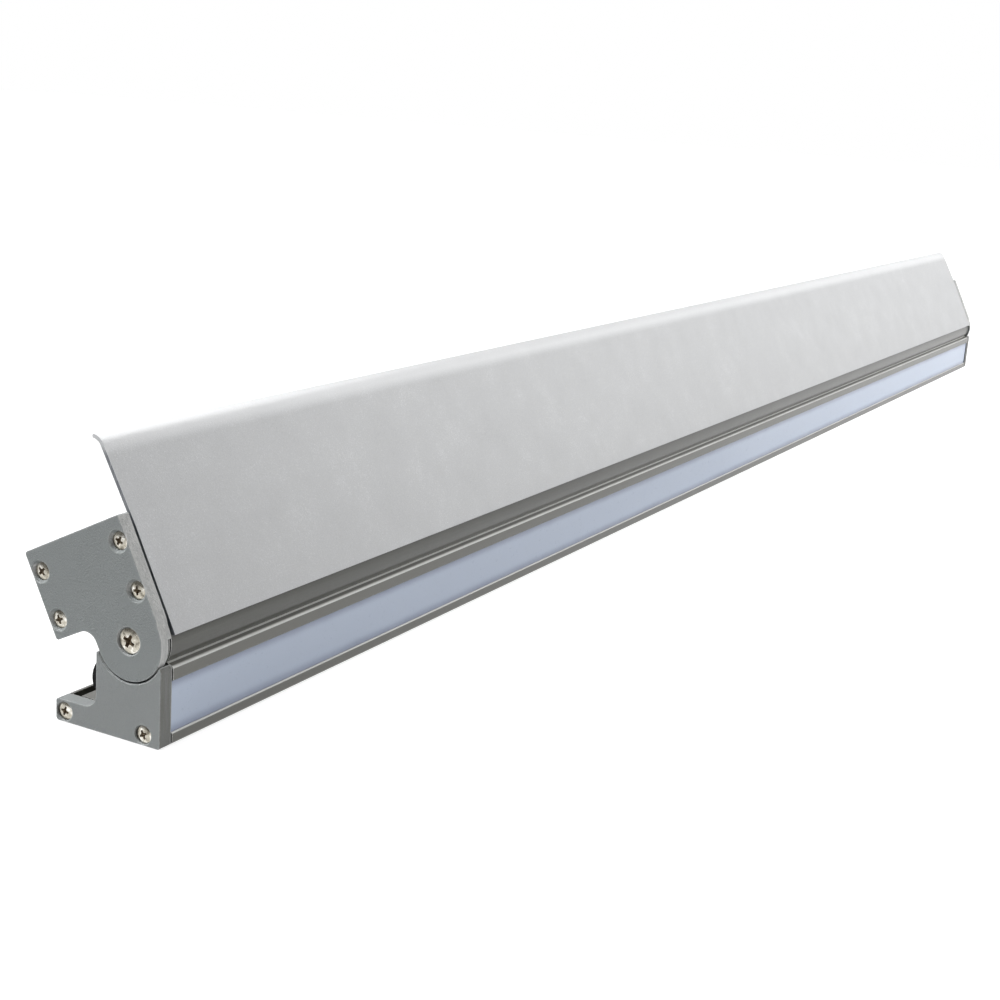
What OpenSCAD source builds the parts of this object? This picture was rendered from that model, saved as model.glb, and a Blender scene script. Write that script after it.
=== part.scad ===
// Linear wall washer: a lamp body on a flat base, and a tilting driver housing with a visor above it.
// The origin is the middle of the flat base. +X runs to the right end, -Y is the lit front, +Z is up.

/* [Overall] */
// Length over the end caps
overall_l = 1000; // [600:10:1400]
// Lean of the driver housing and visor from upright at rest, in degrees
tilt = 27; // [20:0.5:33]

/* [Lamp housing] */
// Depth of the flat base, front to rear
base_d = 40; // [38:0.5:60]
// Height of the foot behind the lamp body
foot_h = 7; // [6.8:0.1:9]
// Depth of the lamp body, from the front face to the rear wall
body_d = 24.4; // [24:0.1:28]
// Height of the front face, up to the edge of the sloping lip
front_h = 24.1; // [23.8:0.1:26]
// Rise of the rear edge above the front edge
rear_rise = 1.1; // [0.6:0.1:1.4]
// Slope of the lip above the front face, in degrees
lip_slope = 53; // [48:1:58]
// Thickness of the outer walls
lamp_wall = 2.1; // [1.8:0.1:2.4]
// Radius of the hollow corner between foot and rear wall
foot_fillet_r = 4.5; // [2:0.1:6]
// Radius of the outer corners of the section
corner_r = 0.9; // [0.4:0.1:1.2]
// Thickness of the inner web that carries the boards
web_t = 2.4; // [1.8:0.1:2.8]

/* [Barrel and pivot] */
// Outer radius of the barrel
barrel_r = 11.3; // [9.5:0.05:13.5]
// Depth of the lowest line of the barrel below the edge of the front face
barrel_drop = 4.4; // [4:0.1:4.6]
// Distance of the barrel behind the front face
barrel_in = 0.9; // [0.5:0.1:1.5]
// Wall of the barrel
barrel_wall = 1.8; // [1.4:0.1:2.2]
// Outer radius of the screw boss in the barrel
boss_r = 4; // [3.4:0.1:5]
// Thickness of the spokes of the barrel
spoke_t = 1.6; // [1.2:0.1:2]
// Radius of the pivot screw shank
pivot_shank_r = 2; // [1.8:0.05:2.3]
// Radial clearance of the pivot screw in the lobe
pivot_fit = 0.06; // [0.04:0.01:0.08]
// Length of the pivot screw from rim to tip
pivot_screw_l = 18; // [14:0.5:30]

/* [Diffuser window] */
// Height of the lower edge of the window
window_low = 3.8; // [3.6:0.1:4.4]
// Height of the window
window_h = 16.2; // [14:0.1:16.4]
// Thickness of the lips in front of the diffuser flange
lip_t = 1.6; // [1.2:0.1:1.8]
// Distance of the diffuser face behind the front face
diffuser_recess = 0.6; // [0.3:0.1:1]
// Thickness of the diffuser flange
flange_t = 1.4; // [1.2:0.1:1.6]
// Reach of the flange behind each lip
flange_reach = 1.2; // [0.8:0.1:1.3]
// Side of the square seal strips
seal_side = 1; // [0.8:0.1:1.2]

/* [End caps of the lamp] */
// Thickness of the lamp end caps
cap_t = 5.05; // [4.8:0.05:8]
// Thickness of the lamp gaskets
gasket_t = 0.6; // [0.4:0.1:1]
// Distance of the gasket edges inside the outline
gasket_inset = 0.5; // [0.3:0.1:0.8]
// Height of the lamp cap screws above the base
lamp_screw_h = 3.3; // [3.2:0.05:3.6]
// Distance of the front screw behind the front face
front_screw_in = 6.3; // [6.1:0.1:7]
// Distance of the rear screw and the groove in front of the rear edge
rear_screw_in = 3.35; // [3.2:0.05:5]
// Width of the groove along the foot
groove_w = 3.2; // [3.1:0.1:3.6]

/* [Driver housing] */
// Reach of the driver housing behind the barrel
box_behind = 15.95; // [15:0.05:22]
// Depth of the underside of the driver housing below the top of the barrel
box_sink = 3.95; // [3.4:0.05:4.2]
// Height of the top of the driver housing above the barrel
box_over = 24.2; // [24:0.1:32]
// Thickness of the driver housing walls
box_wall = 1.8; // [1.5:0.1:2]
// Clearance of the driver housing around the barrel
barrel_gap = 0.4; // [0.3:0.05:0.6]
// Clearance of the visor plane in front of the barrel
visor_gap = 0.3; // [0.3:0.05:0.6]

/* [End caps of the driver housing] */
// Thickness of the driver end caps
head_cap_t = 4.6; // [4.2:0.1:4.8]
// Thickness of the pivot lobe
lobe_t = 3; // [2.9:0.05:3.2]
// Step of the lobe outside the barrel
lobe_step = 1; // [0.8:0.1:1.2]
// Clearance of the lobe in the hollow of the lamp cap
cradle_gap = 0.5; // [0.4:0.05:0.7]
// Thickness of the pivot washers
washer_t = 0.5; // [0.3:0.05:0.6]
// Outer radius of the pivot washers
washer_r = 8; // [6:0.5:10]
// Radius of the hollow corner beside the lobe
lobe_fillet_r = 4.5; // [4:0.1:4.8]
// Distance of the cap screws inside the front and rear faces
head_screw_in = 3.4; // [3.3:0.1:4]
// Height of the lower cap screws above the underside
head_screw_low = 5.65; // [5:0.05:6.5]
// Distance of the upper cap screws below the top
head_screw_top = 7.2; // [5:0.1:7.5]

/* [Visor] */
// Thickness of the visor
visor_t = 1.2; // [1:0.1:1.5]
// Reach of the visor below the pivot
visor_drop = 2.8; // [1.5:0.1:3]
// Distance of the slight bend of the visor below the top of the driver housing
bend_below = 4.5; // [2:0.5:6]
// Height of the start of the curl above the top of the driver housing
curl_above = 20.9; // [10:0.1:45]
// Lean of the visor above the bend, in degrees
bend_angle = 2.3; // [0:0.1:6]
// Mid radius of the curl
curl_r = 4.4; // [3:0.1:8]
// Sweep of the curl, in degrees
curl_angle = 50; // [20:1:80]
// Radius of the bead on the edge of the curl
bead_r = 0.7; // [0.65:0.05:1]

/* [Screws] */
// Radius of the small screw heads
head_r = 2.75; // [2.6:0.05:2.8]
// Radius of the small screw shanks
shank_r = 1.45; // [1.3:0.05:1.5]
// Length of the small screws from rim to tip
screw_l = 12; // [9:0.5:20]
// Height of the dome on the small heads
dome_h = 0.5; // [0.3:0.05:0.6]
// Radius of the pivot screw heads
pivot_head_r = 3.9; // [3.6:0.05:4]
// Width of the cross recess blades
cross_w = 0.7; // [0.5:0.05:0.9]
// Depth of the driver cap screws below the cap face
head_sink = 1; // [0.6:0.1:1.2]

/* [Light engine] */
// Height of the boards
board_h = 15; // [13:0.1:15.4]
// Thickness of the boards
board_t = 1.6; // [1:0.1:2]
// Thickness of the thermal pads
pad_t = 0.5; // [0.3:0.1:0.8]
// Side of a chip
chip_side = 3; // [2:0.1:3.5]
// Height of a chip
chip_h = 0.8; // [0.6:0.1:1.2]
// Chips on each board
chip_count = 40; // [10:1:60]
// Screws on each board
board_screw_count = 4; // [2:1:6]

/* [Glands] */
// Width across the flats of the gland hexagons
gland_flats = 11; // [10.6:0.1:11.2]
// Radius of the gland thread
gland_thread_r = 3.9; // [3.4:0.1:4.1]
// Radius of the passage for the cord
gland_passage_r = 2.4; // [1.8:0.1:2.6]
// Height of the lamp gland above the base
lamp_gland_h = 13.5; // [13.4:0.1:13.8]
// Distance of the lamp gland from the left end face
lamp_gland_in = 12.5; // [12.3:0.1:40]
// Distance of the driver housing glands from the end faces
head_gland_in = 30; // [20:1:80]

/* [Driver] */
// Length of the driver case
driver_l = 250; // [160:5:320]
// Clearance of the driver case behind the boss of the visor rails
driver_gap = 2.75; // [1:0.05:6]
// Height of the driver case
driver_h = 18; // [14:0.1:18.5]
// Thickness of the driver case
driver_wall = 1.2; // [0.8:0.1:1.6]

/* [Hidden] */
$fn = 48;

// Overrun of cuts past the faces that they open
over = 0.5;
// Clearance between pieces of one body that slide together
slip = 0.1;
// Clearance of a screw in the hole that it threads into
thread_gap = 0.05;
// Clearance of a screw in the hole that it passes through
pass_gap = 0.25;

// Planes along the length, counted from the middle
face_x = overall_l / 2;
cap_in_x = face_x - cap_t;
profile_x = cap_in_x - gasket_t;
head_in_x = face_x - head_cap_t;
lobe_in_x = face_x - lobe_t;
pivot_play = 0.1;
cover_x = lobe_in_x - pivot_play - washer_t;

// Section of the lamp body
rear_h = front_h + rear_rise;
pivot_y = barrel_in + barrel_r;
pivot_h = front_h + barrel_r - barrel_drop;
window_high = window_low + window_h;
flange_play = 0.2;
flange_y = lip_t + slip;
flange_low = window_low - flange_reach;
flange_high = window_high + flange_reach;
seat_y = flange_y + flange_t + seal_side;
rib_t = 1.5;
ceiling_share = 0.15;
ceiling_h = pivot_h - barrel_r - ceiling_share * lamp_wall;
wiring_d = 5.3;
wiring_y = body_d - lamp_wall - wiring_d;
wiring_h = ceiling_h + seal_side;
web_y = wiring_y - web_t;
port_wall = 1.3;
port_r = shank_r + thread_gap;
foot_hollow_wall = 1.7;
foot_hollow_h = 2.6;
groove_y = base_d - rear_screw_in;
lamp_screws = [[groove_y, lamp_screw_h], [front_screw_in, lamp_screw_h]];
lamp_cross_angles = [15, 62];
lip_share = 0.12;
bridge_share = 0.7;
foot_blend_r = 0.8;

// Section of the driver housing, counted from the pivot: u to the rear, v up
box_rear = barrel_r + box_behind;
box_low = barrel_r - box_sink;
box_high = barrel_r + box_over;
bend_v = box_high - bend_below;
curl_v = box_high + curl_above;
visor_in = barrel_r + visor_gap;
visor_out = visor_in + visor_t;
lobe_r = barrel_r + lobe_step;
cradle_r = lobe_r + cradle_gap;
arc_r = barrel_r + barrel_gap;
pocket_gap = 0.5;
pocket_r = barrel_r + pocket_gap;
blend_share = 0.2;
step_v = visor_drop + cradle_gap;
toe_share = 0.55;
head_screw_u = [head_screw_in - visor_out, box_rear - head_screw_in];
head_screw_v = [box_low + head_screw_low, box_high - head_screw_top];
head_cross_angles = [20, 50, 5, 70];
pivot_cross_angle = 25;
rail_neck_w = 1.4;
rail_neck_h = 1.1;
rail_head_w = 3.2;
rail_head_h = 1;
rail_pitch = 5.4;
rail_v = (head_screw_v[0] + head_screw_v[1]) / 2;
rail_boss_h = 2.2;
seat_rise = 0.5;
seat_v = arc_r + box_wall + seat_rise;
seat_rib_t = 3;
seat_block_w = 6;
seat_block_in = 13.25;
seat_block_u = box_rear - seat_block_in;

// Heads of the screws
rim_t = 0.2;
recess_gap = 0.15;
cone_share = 0.8;
pivot_dome_h = 0.6;
pivot_sink = pivot_dome_h;
lamp_sink = dome_h + slip;
cross_reach_share = 0.62;
cross_depth_share = 0.5;

// Light engine
board_y = web_y - pad_t - board_t;
board_low = lamp_wall + seal_side;
board_end_gap = 3;
board_joint_gap = 1;
board_l = profile_x - board_end_gap - board_joint_gap / 2;
chip_rise_share = 0.62;
screw_rise_share = 0.2;
chip_h_at = board_low + chip_rise_share * board_h;
board_screw_h = board_low + screw_rise_share * board_h;
board_screw_l = board_t + pad_t + web_t + pad_t;
board_screw_head_h = 1.9;
terminal = [10, 3.2, 5];
terminal_in = 20;
mouth_share = 0.2;
mouth_shares = [0.3, 0.7];
link = [12, 3, 4];
wire_pass_r = 2.5;
wire_rise_share = 0.3;
wire_pass_h = board_low + wire_rise_share * board_h;
chip_start = 8;

// Glands
gland_washer_t = 0.8;
gland_flange_t = 2.6;
gland_neck_r = 4.4;
gland_neck_l = 3.2;
gland_nut_l = 4.2;
gland_dome_l = 1.8;
gland_seal_wall = 1;
gland_seat_l = 1;
gland_locknut_t = 2.2;
gland_inner_l = 0.9;
gland_dome_step = 0.4;
head_gland_v = (head_screw_v[0] + head_screw_v[1]) / 2;
gland_corner_r = gland_flats / (2 * cos(30));
spot_d = 2 * (port_r + port_wall);

// Driver
port_clear = 0.3;
driver_rear = box_rear - head_screw_in - port_r - port_wall - port_clear;
driver_u = rail_boss_h + box_wall - visor_in + driver_gap;
driver_w = driver_rear - driver_u;
ear_l = 12;
ear_t = 1.5;
ear_w = 11;
ledge_w = 2;
ledge_h = 1.8;
driver_board_v = seat_v + driver_wall + ledge_h;
lead_height_share = 0.67;
core_shares = [0.11, 0.6, 0.85];
can_radius_share = 0.3;
can_height_share = 0.8;
can_shares = [-0.36, -0.28, 0.24, 0.34];

// A strip of the lamp section between two planes along the length
module lamp_run(x0, x1) {
    translate([x0, -base_d / 2, 0]) rotate([90, 0, 90]) linear_extrude(x1 - x0) children();
}

// The tilted frame of the driver housing: y is u and z is v, from the pivot
module head_frame() {
    translate([0, pivot_y - base_d / 2, pivot_h]) rotate([-tilt, 0, 0]) children();
}

// A strip of the driver housing section between two planes along the length
module head_run(x0, x1) {
    head_frame() translate([x0, 0, 0]) rotate([90, 0, 90]) linear_extrude(x1 - x0) children();
}

// What is built at the right end is mirrored for the left one
module at_end(side) {
    mirror([side < 0 ? 1 : 0, 0, 0]) children();
}

function unit(v) = v / norm(v);

// The wedge between a corner and the arc that rounds it; its tip runs a little past the corner
module wedge(a, p, b, r) {
    ua = unit(a - p);
    ub = unit(b - p);
    half = acos(ua * ub) / 2;
    bisector = unit(ua + ub);
    reach = r / tan(half);
    centre = p + bisector * r / sin(half);
    difference() {
        polygon([p - bisector * over, p + ua * reach, centre, p + ub * reach]);
        translate(centre) circle(r);
    }
}

// Lamp body outline without the barrel: foot, rear wall, and the sloping lip behind the front face
module lamp_outline(fillet_r) {
    lip_run = body_d * lip_share;
    lip_top = [lip_run, front_h + lip_run * tan(lip_slope)];
    front_low = [0, 0];
    rear_low = [base_d, 0];
    foot_top = [base_d, foot_h];
    foot_in = [body_d, foot_h];
    rear_top = [body_d, rear_h];
    front_top = [0, front_h];
    difference() {
        union() {
            polygon([front_low, rear_low, foot_top, foot_in, rear_top, [pivot_y, rear_h], lip_top, front_top]);
            wedge(foot_top, foot_in, rear_top, fillet_r);
        }
        wedge(rear_low, front_low, front_top, corner_r);
        wedge(front_low, rear_low, foot_top, corner_r);
        wedge(rear_low, foot_top, foot_in, corner_r);
        wedge(lip_top, front_top, front_low, corner_r);
    }
}

// A square that is inset on every side from a rectangle given by two corners
module box2(low, high, inset = 0) {
    translate(low + [inset, inset]) square(high - low - [inset, inset] * 2);
}

module barrel_disc(r) {
    translate([pivot_y, pivot_h]) circle(r);
}

// Hollow of the barrel, with its spokes and screw boss left standing
module barrel_hollow() {
    translate([pivot_y, pivot_h]) difference() {
        circle(barrel_r - barrel_wall);
        circle(boss_r);
        for (a = [90, 210, 330]) rotate(a) translate([0, -spoke_t / 2]) square([barrel_r, spoke_t]);
    }
}

// The full section of the lamp extrusion
module lamp_section() {
    groove_low = [groove_y - groove_w / 2, lamp_screw_h];
    difference() {
        union() {
            difference() {
                union() {
                    lamp_outline(foot_blend_r);
                    barrel_disc(barrel_r);
                }
                box2([-over, window_low], [lip_t + over, window_high]);
                box2([lip_t, flange_low], [seat_y, flange_high + flange_play]);
                box2([seat_y - over, window_low], [seat_y + rib_t + over, ceiling_h]);
                box2([seat_y + rib_t, lamp_wall], [web_y, ceiling_h]);
                box2([wiring_y, lamp_wall], [body_d - lamp_wall, wiring_h]);
                box2([body_d + foot_hollow_wall, lamp_wall],
                     [groove_low[0] - foot_hollow_wall, lamp_wall + foot_hollow_h]);
            }
            intersection() {
                translate([front_screw_in, lamp_screw_h]) circle(port_r + port_wall);
                box2([seat_y, 0], [web_y, ceiling_h]);
            }
        }
        barrel_hollow();
        barrel_disc(pivot_shank_r + thread_gap);
        translate([front_screw_in, lamp_screw_h]) circle(port_r);
        translate([groove_y, lamp_screw_h]) circle(groove_w / 2);
        box2(groove_low, [groove_low[0] + groove_w, foot_h + over]);
    }
}

// Round hole along Y at a place along the length and a height
module y_hole(x, z, r, y0, y1) {
    translate([x, y0 - base_d / 2, z]) rotate([-90, 0, 0]) cylinder(r = r, h = y1 - y0);
}

function board_screw_x(side) =
    [for (i = [0 : board_screw_count - 1])
        side * (board_joint_gap / 2 + board_l * (i + 0.5) / board_screw_count)];

module lamp_housing() {
    color("#8d8d86") difference() {
        lamp_run(-profile_x, profile_x) lamp_section();
        y_hole(lamp_gland_in - face_x, lamp_gland_h, gland_thread_r + slip, wiring_y + over, body_d + over);
        y_hole(terminal_in + terminal[0] - face_x, wire_pass_h, wire_pass_r, web_y - over, wiring_y + over);
        for (side = [-1, 1], x = board_screw_x(side))
            y_hole(x, board_screw_h, port_r, web_y - over, wiring_y + over);
    }
}

// Holes of the lamp cap screws through a sheet
module lamp_screw_holes(r) {
    for (at = lamp_screws) translate(at) circle(r);
}

// The lamp cap: a plate with the hollow for the lobe, and a thin cover over the end of the barrel
module lamp_cap() {
    bridge_w = 2 * barrel_r * bridge_share;
    difference() {
        union() {
            lamp_run(cap_in_x, face_x) difference() {
                lamp_outline(foot_fillet_r);
                barrel_disc(cradle_r);
            }
            lamp_run(cap_in_x, cover_x) {
                barrel_disc(barrel_r);
                difference() {
                    translate([pivot_y - bridge_w / 2, foot_h]) square([bridge_w, pivot_h - foot_h]);
                    barrel_disc(boss_r);
                }
            }
        }
        lamp_run(cap_in_x - over, face_x + over) {
            lamp_screw_holes(shank_r + pass_gap);
            barrel_disc(pivot_shank_r + slip);
        }
        for (at = lamp_screws)
            translate([face_x - lamp_sink, at[0] - base_d / 2, at[1]]) sink(head_r, shank_r, lamp_sink);
    }
}

// The seat of a countersunk head whose rim is at x = 0, opened straight out past the face
module sink(r, neck_r, depth) {
    wide = r + recess_gap;
    cone_h = (wide - neck_r) * cone_share;
    rotate([0, 90, 0]) {
        translate([0, 0, -rim_t]) cylinder(r = wide, h = rim_t + depth + over);
        translate([0, 0, -rim_t - cone_h]) cylinder(r1 = neck_r, r2 = wide, h = cone_h);
    }
}

// The same seat, opened out at 45 degrees up to the face
module flared_sink(r, neck_r, depth) {
    wide = r + recess_gap;
    sink(r, neck_r, -over);
    rotate([0, 90, 0]) cylinder(r1 = wide, r2 = wide + depth + over, h = depth + over);
}

module lamp_end_cap_left() { color("#8b9090") at_end(-1) lamp_cap(); }
module lamp_end_cap_right() { color("#8b9090") at_end(1) lamp_cap(); }

// Flat gasket in the outline of the lamp extrusion
module lamp_gasket() {
    low = [gasket_inset, gasket_inset];
    lamp_run(profile_x, cap_in_x) difference() {
        union() {
            box2(low, [base_d, foot_h] - low);
            box2(low, [body_d - gasket_inset, front_h - gasket_inset]);
            barrel_disc(barrel_r - gasket_inset);
        }
        lamp_screw_holes(shank_r + pass_gap);
        barrel_disc(pivot_shank_r + slip);
    }
}

module lamp_gasket_left() { color("#222222") at_end(-1) lamp_gasket(); }
module lamp_gasket_right() { color("#222222") at_end(1) lamp_gasket(); }

// Raised countersunk screw along X: the rim of the head is at x = 0 and the shank runs to -X
module cap_screw(r, neck_r, length, dome, cross_angle) {
    ball_r = (r * r + dome * dome) / (2 * dome);
    cone_h = (r - neck_r) * cone_share;
    cross_l = 2 * r * cross_reach_share;
    cross_d = r * cross_depth_share;
    rotate([0, 90, 0]) difference() {
        union() {
            intersection() {
                translate([0, 0, dome - ball_r]) sphere(ball_r, $fn = 96);
                cylinder(r = r, h = dome + over);
            }
            translate([0, 0, -rim_t]) cylinder(r = r, h = rim_t);
            translate([0, 0, -rim_t - cone_h]) cylinder(r1 = neck_r, r2 = r, h = cone_h);
            translate([0, 0, -length]) cylinder(r = neck_r, h = length - cone_h - rim_t);
        }
        for (a = [0, 90]) rotate(a + cross_angle)
            translate([-cross_l / 2, -cross_w / 2, dome - cross_d]) cube([cross_l, cross_w, cross_d + over]);
    }
}

// The two screws of a lamp end cap
module lamp_cap_screws() {
    for (i = [0, 1])
        translate([face_x - lamp_sink, lamp_screws[i][0] - base_d / 2, lamp_screws[i][1]])
            cap_screw(head_r, shank_r, screw_l, dome_h, lamp_cross_angles[i]);
}

module lamp_cap_screws_left() { color("#b9b39f") at_end(-1) lamp_cap_screws(); }
module lamp_cap_screws_right() { color("#b9b39f") at_end(1) lamp_cap_screws(); }

// Frosted cover: a raised face between the lips and a flange behind them
module diffuser() {
    color("#d9deea") lamp_run(-profile_x + slip, profile_x - slip) {
        box2([diffuser_recess, window_low + slip], [flange_y + over, window_high - slip]);
        box2([flange_y, flange_low], [flange_y + flange_t, flange_high]);
    }
}

module diffuser_seals() {
    color("#cfcfcf") lamp_run(-profile_x + slip, profile_x - slip)
        for (z = [flange_low, flange_high - seal_side]) translate([flange_y + flange_t, z]) square(seal_side);
}

// Side 1 is the right half of the board line and side -1 the left one
module board_row(side, y, t) {
    x0 = side < 0 ? -board_joint_gap / 2 - board_l : board_joint_gap / 2;
    difference() {
        translate([x0, y - base_d / 2, board_low]) cube([board_l, t, board_h]);
        for (x = board_screw_x(side)) y_hole(x, board_screw_h, shank_r + pass_gap, y - over, y + t + over);
        if (side < 0)
            y_hole(terminal_in + terminal[0] - face_x, wire_pass_h, wire_pass_r, y - over, y + t + over);
    }
}

module led_board_left() { color("#f2f2ee") board_row(-1, board_y, board_t); }
module led_board_right() { color("#f2f2ee") board_row(1, board_y, board_t); }

module thermal_pads() {
    color("#9fb3c8") for (side = [-1, 1]) board_row(side, board_y + board_t, pad_t);
}

module led_chips() {
    pitch = (board_l - 2 * chip_start) / (chip_count - 1);
    color("#f0d25a") for (side = [-1, 1], i = [0 : chip_count - 1])
        translate([side * (board_joint_gap / 2 + chip_start + i * pitch) - chip_side / 2,
                   board_y - chip_h - base_d / 2, chip_h_at - chip_side / 2])
            cube([chip_side, chip_h, chip_side]);
}

// Pan head screws that hold the boards and pads to the web
module board_screws() {
    color("#b9b39f") for (side = [-1, 1], x = board_screw_x(side))
        translate([x, board_y - base_d / 2, board_screw_h]) rotate([-90, 0, 0]) {
            cylinder(r = shank_r, h = board_screw_l);
            difference() {
                translate([0, 0, -board_screw_head_h]) cylinder(r = head_r, h = board_screw_head_h);
                for (a = [0, 90]) rotate(a)
                    translate([-head_r / 2, -cross_w / 2, -board_screw_head_h - over])
                        cube([head_r, cross_w, over + board_screw_head_h / 2]);
            }
        }
}

// Terminal block of the left board, with two wire mouths
module board_terminal() {
    mouth_r = terminal[1] * mouth_share;
    color("#f4f4f4") translate([terminal_in - terminal[0] - face_x, board_y - terminal[1] - base_d / 2,
                                board_low + slip])
        difference() {
            cube(terminal);
            for (share = mouth_shares)
                translate([terminal[0] / 2, terminal[1] / 2, terminal[2] * share])
                    rotate([0, 90, 0]) cylinder(r = mouth_r, h = terminal[0]);
        }
}

// Connector that joins the two boards in the middle
module board_link() {
    color("#f4f4f4") translate([-link[0] / 2, board_y - link[1] - base_d / 2, board_low + slip]) cube(link);
}

// Hexagon prism along Z with its corners broken at the upper end
module hexagon(flats, h) {
    corner = flats / (2 * cos(30));
    intersection() {
        rotate(30) cylinder(r = corner, h = h, $fn = 6);
        union() {
            cylinder(r = corner, h = h - (corner - flats / 2));
            translate([0, 0, h - (corner - flats / 2)])
                cylinder(r1 = corner, r2 = flats / 2, h = corner - flats / 2);
        }
    }
}

// Gland pieces along Z: the outer face of the wall is z = 0 and the wall lies below it
module gland_body(wall) {
    inner_l = wall + gland_locknut_t + gland_inner_l;
    neck_z = gland_washer_t + gland_flange_t;
    difference() {
        union() {
            translate([0, 0, -inner_l]) cylinder(r = gland_thread_r, h = inner_l + neck_z);
            translate([0, 0, gland_washer_t]) hexagon(gland_flats, gland_flange_t);
            translate([0, 0, neck_z]) cylinder(r = gland_neck_r, h = gland_neck_l);
        }
        translate([0, 0, -inner_l - over]) cylinder(r = gland_passage_r, h = inner_l + neck_z + gland_neck_l);
        translate([0, 0, neck_z + gland_seat_l])
            cylinder(r = gland_passage_r + gland_seal_wall + slip, h = gland_neck_l);
    }
}

module gland_nut() {
    base_z = gland_washer_t + gland_flange_t + slip;
    hollow_l = gland_neck_l + slip;
    dome_r = (gland_flats / 2 * gland_flats / 2 + gland_dome_l * gland_dome_l) / (2 * gland_dome_l);
    translate([0, 0, base_z]) difference() {
        union() {
            hexagon(gland_flats, gland_nut_l);
            intersection() {
                translate([0, 0, gland_nut_l + gland_dome_l - dome_r]) sphere(dome_r, $fn = 96);
                translate([0, 0, gland_nut_l - slip])
                    cylinder(r = gland_flats / 2 - gland_dome_step, h = gland_dome_l + over);
            }
        }
        translate([0, 0, -over]) cylinder(r = gland_neck_r + slip, h = over + hollow_l);
        cylinder(r = gland_passage_r, h = gland_nut_l + gland_dome_l + over);
    }
}

module gland_seal() {
    base_z = gland_washer_t + gland_flange_t + gland_seat_l;
    seal_l = gland_neck_l - gland_seat_l + 2 * slip;
    translate([0, 0, base_z]) difference() {
        cylinder(r = gland_passage_r + gland_seal_wall, h = seal_l);
        translate([0, 0, -over]) cylinder(r = gland_passage_r, h = seal_l + 2 * over);
    }
}

module gland_washer() {
    difference() {
        cylinder(r = gland_flats / 2, h = gland_washer_t);
        translate([0, 0, -over]) cylinder(r = gland_thread_r + slip, h = gland_washer_t + 2 * over);
    }
}

module gland_locknut(wall) {
    translate([0, 0, -wall]) mirror([0, 0, 1]) difference() {
        hexagon(gland_flats - 2 * slip, gland_locknut_t);
        translate([0, 0, -over]) cylinder(r = gland_thread_r + slip, h = gland_locknut_t + 2 * over);
    }
}

// Places of the glands: on the rear wall of the lamp body, and on the rear face of the driver housing
module at_lamp_gland() {
    translate([lamp_gland_in - face_x, body_d - base_d / 2, lamp_gland_h]) rotate([-90, 0, 0]) children();
}

module at_head_gland(side) {
    head_frame() translate([side * (face_x - head_gland_in), box_rear, head_gland_v])
        rotate([-90, 0, 0]) children();
}

module lamp_gland_body() { color("#1b1b1e") at_lamp_gland() gland_body(lamp_wall); }
module lamp_gland_nut() { color("#1b1b1e") at_lamp_gland() gland_nut(); }
module lamp_gland_seal() { color("#33333a") at_lamp_gland() gland_seal(); }
module lamp_gland_washer() { color("#2a2a2a") at_lamp_gland() gland_washer(); }
module lamp_gland_locknut() { color("#1b1b1e") at_lamp_gland() gland_locknut(lamp_wall); }
module link_gland_body() { color("#1b1b1e") at_head_gland(-1) gland_body(box_wall); }
module link_gland_nut() { color("#1b1b1e") at_head_gland(-1) gland_nut(); }
module link_gland_seal() { color("#33333a") at_head_gland(-1) gland_seal(); }
module link_gland_washer() { color("#2a2a2a") at_head_gland(-1) gland_washer(); }
module link_gland_locknut() { color("#1b1b1e") at_head_gland(-1) gland_locknut(box_wall); }
module supply_gland_body() { color("#1b1b1e") at_head_gland(1) gland_body(box_wall); }
module supply_gland_nut() { color("#1b1b1e") at_head_gland(1) gland_nut(); }
module supply_gland_seal() { color("#33333a") at_head_gland(1) gland_seal(); }
module supply_gland_washer() { color("#2a2a2a") at_head_gland(1) gland_washer(); }
module supply_gland_locknut() { color("#1b1b1e") at_head_gland(1) gland_locknut(box_wall); }

// Pivot pieces, at the right end
module pivot_screw() {
    translate([face_x - pivot_sink, pivot_y - base_d / 2, pivot_h])
        cap_screw(pivot_head_r, pivot_shank_r, pivot_screw_l, pivot_dome_h, pivot_cross_angle);
}

module pivot_washer() {
    lamp_run(cover_x, cover_x + washer_t) difference() {
        barrel_disc(washer_r);
        barrel_disc(pivot_shank_r + slip);
    }
}

module pivot_screw_left() { color("#b9b39f") at_end(-1) pivot_screw(); }
module pivot_screw_right() { color("#b9b39f") at_end(1) pivot_screw(); }
module pivot_washer_left() { color("#3a3a3a") at_end(-1) pivot_washer(); }
module pivot_washer_right() { color("#3a3a3a") at_end(1) pivot_washer(); }

// Outline of the driver end cap: the box, the lobe, and the hollow corner beside it
module head_cap_outline() {
    lobe_front = [-lobe_r, visor_drop * blend_share];
    lobe_low_front = [-lobe_r, -lobe_r];
    lobe_low_rear = [lobe_r, -lobe_r];
    lobe_in = [lobe_r, box_low];
    front_low = [-visor_out, visor_drop];
    front_top = [-visor_out, box_high];
    rear_top = [box_rear, box_high];
    rear_low = [box_rear, box_low];
    difference() {
        union() {
            polygon([front_low, front_top, rear_top, rear_low, lobe_in,
                     lobe_low_rear, lobe_low_front, lobe_front]);
            wedge(rear_low, lobe_in, lobe_low_rear, lobe_fillet_r);
        }
        wedge(lobe_front, lobe_low_front, lobe_low_rear, lobe_r);
        wedge(lobe_low_front, lobe_low_rear, lobe_in, lobe_r);
        wedge(front_low, front_top, rear_top, corner_r / 2);
        wedge(front_top, rear_top, rear_low, corner_r);
        wedge(rear_top, rear_low, lobe_in, corner_r);
    }
}

module head_screw_holes(r) {
    for (u = head_screw_u, v = head_screw_v) translate([u, v]) circle(r);
}

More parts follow.
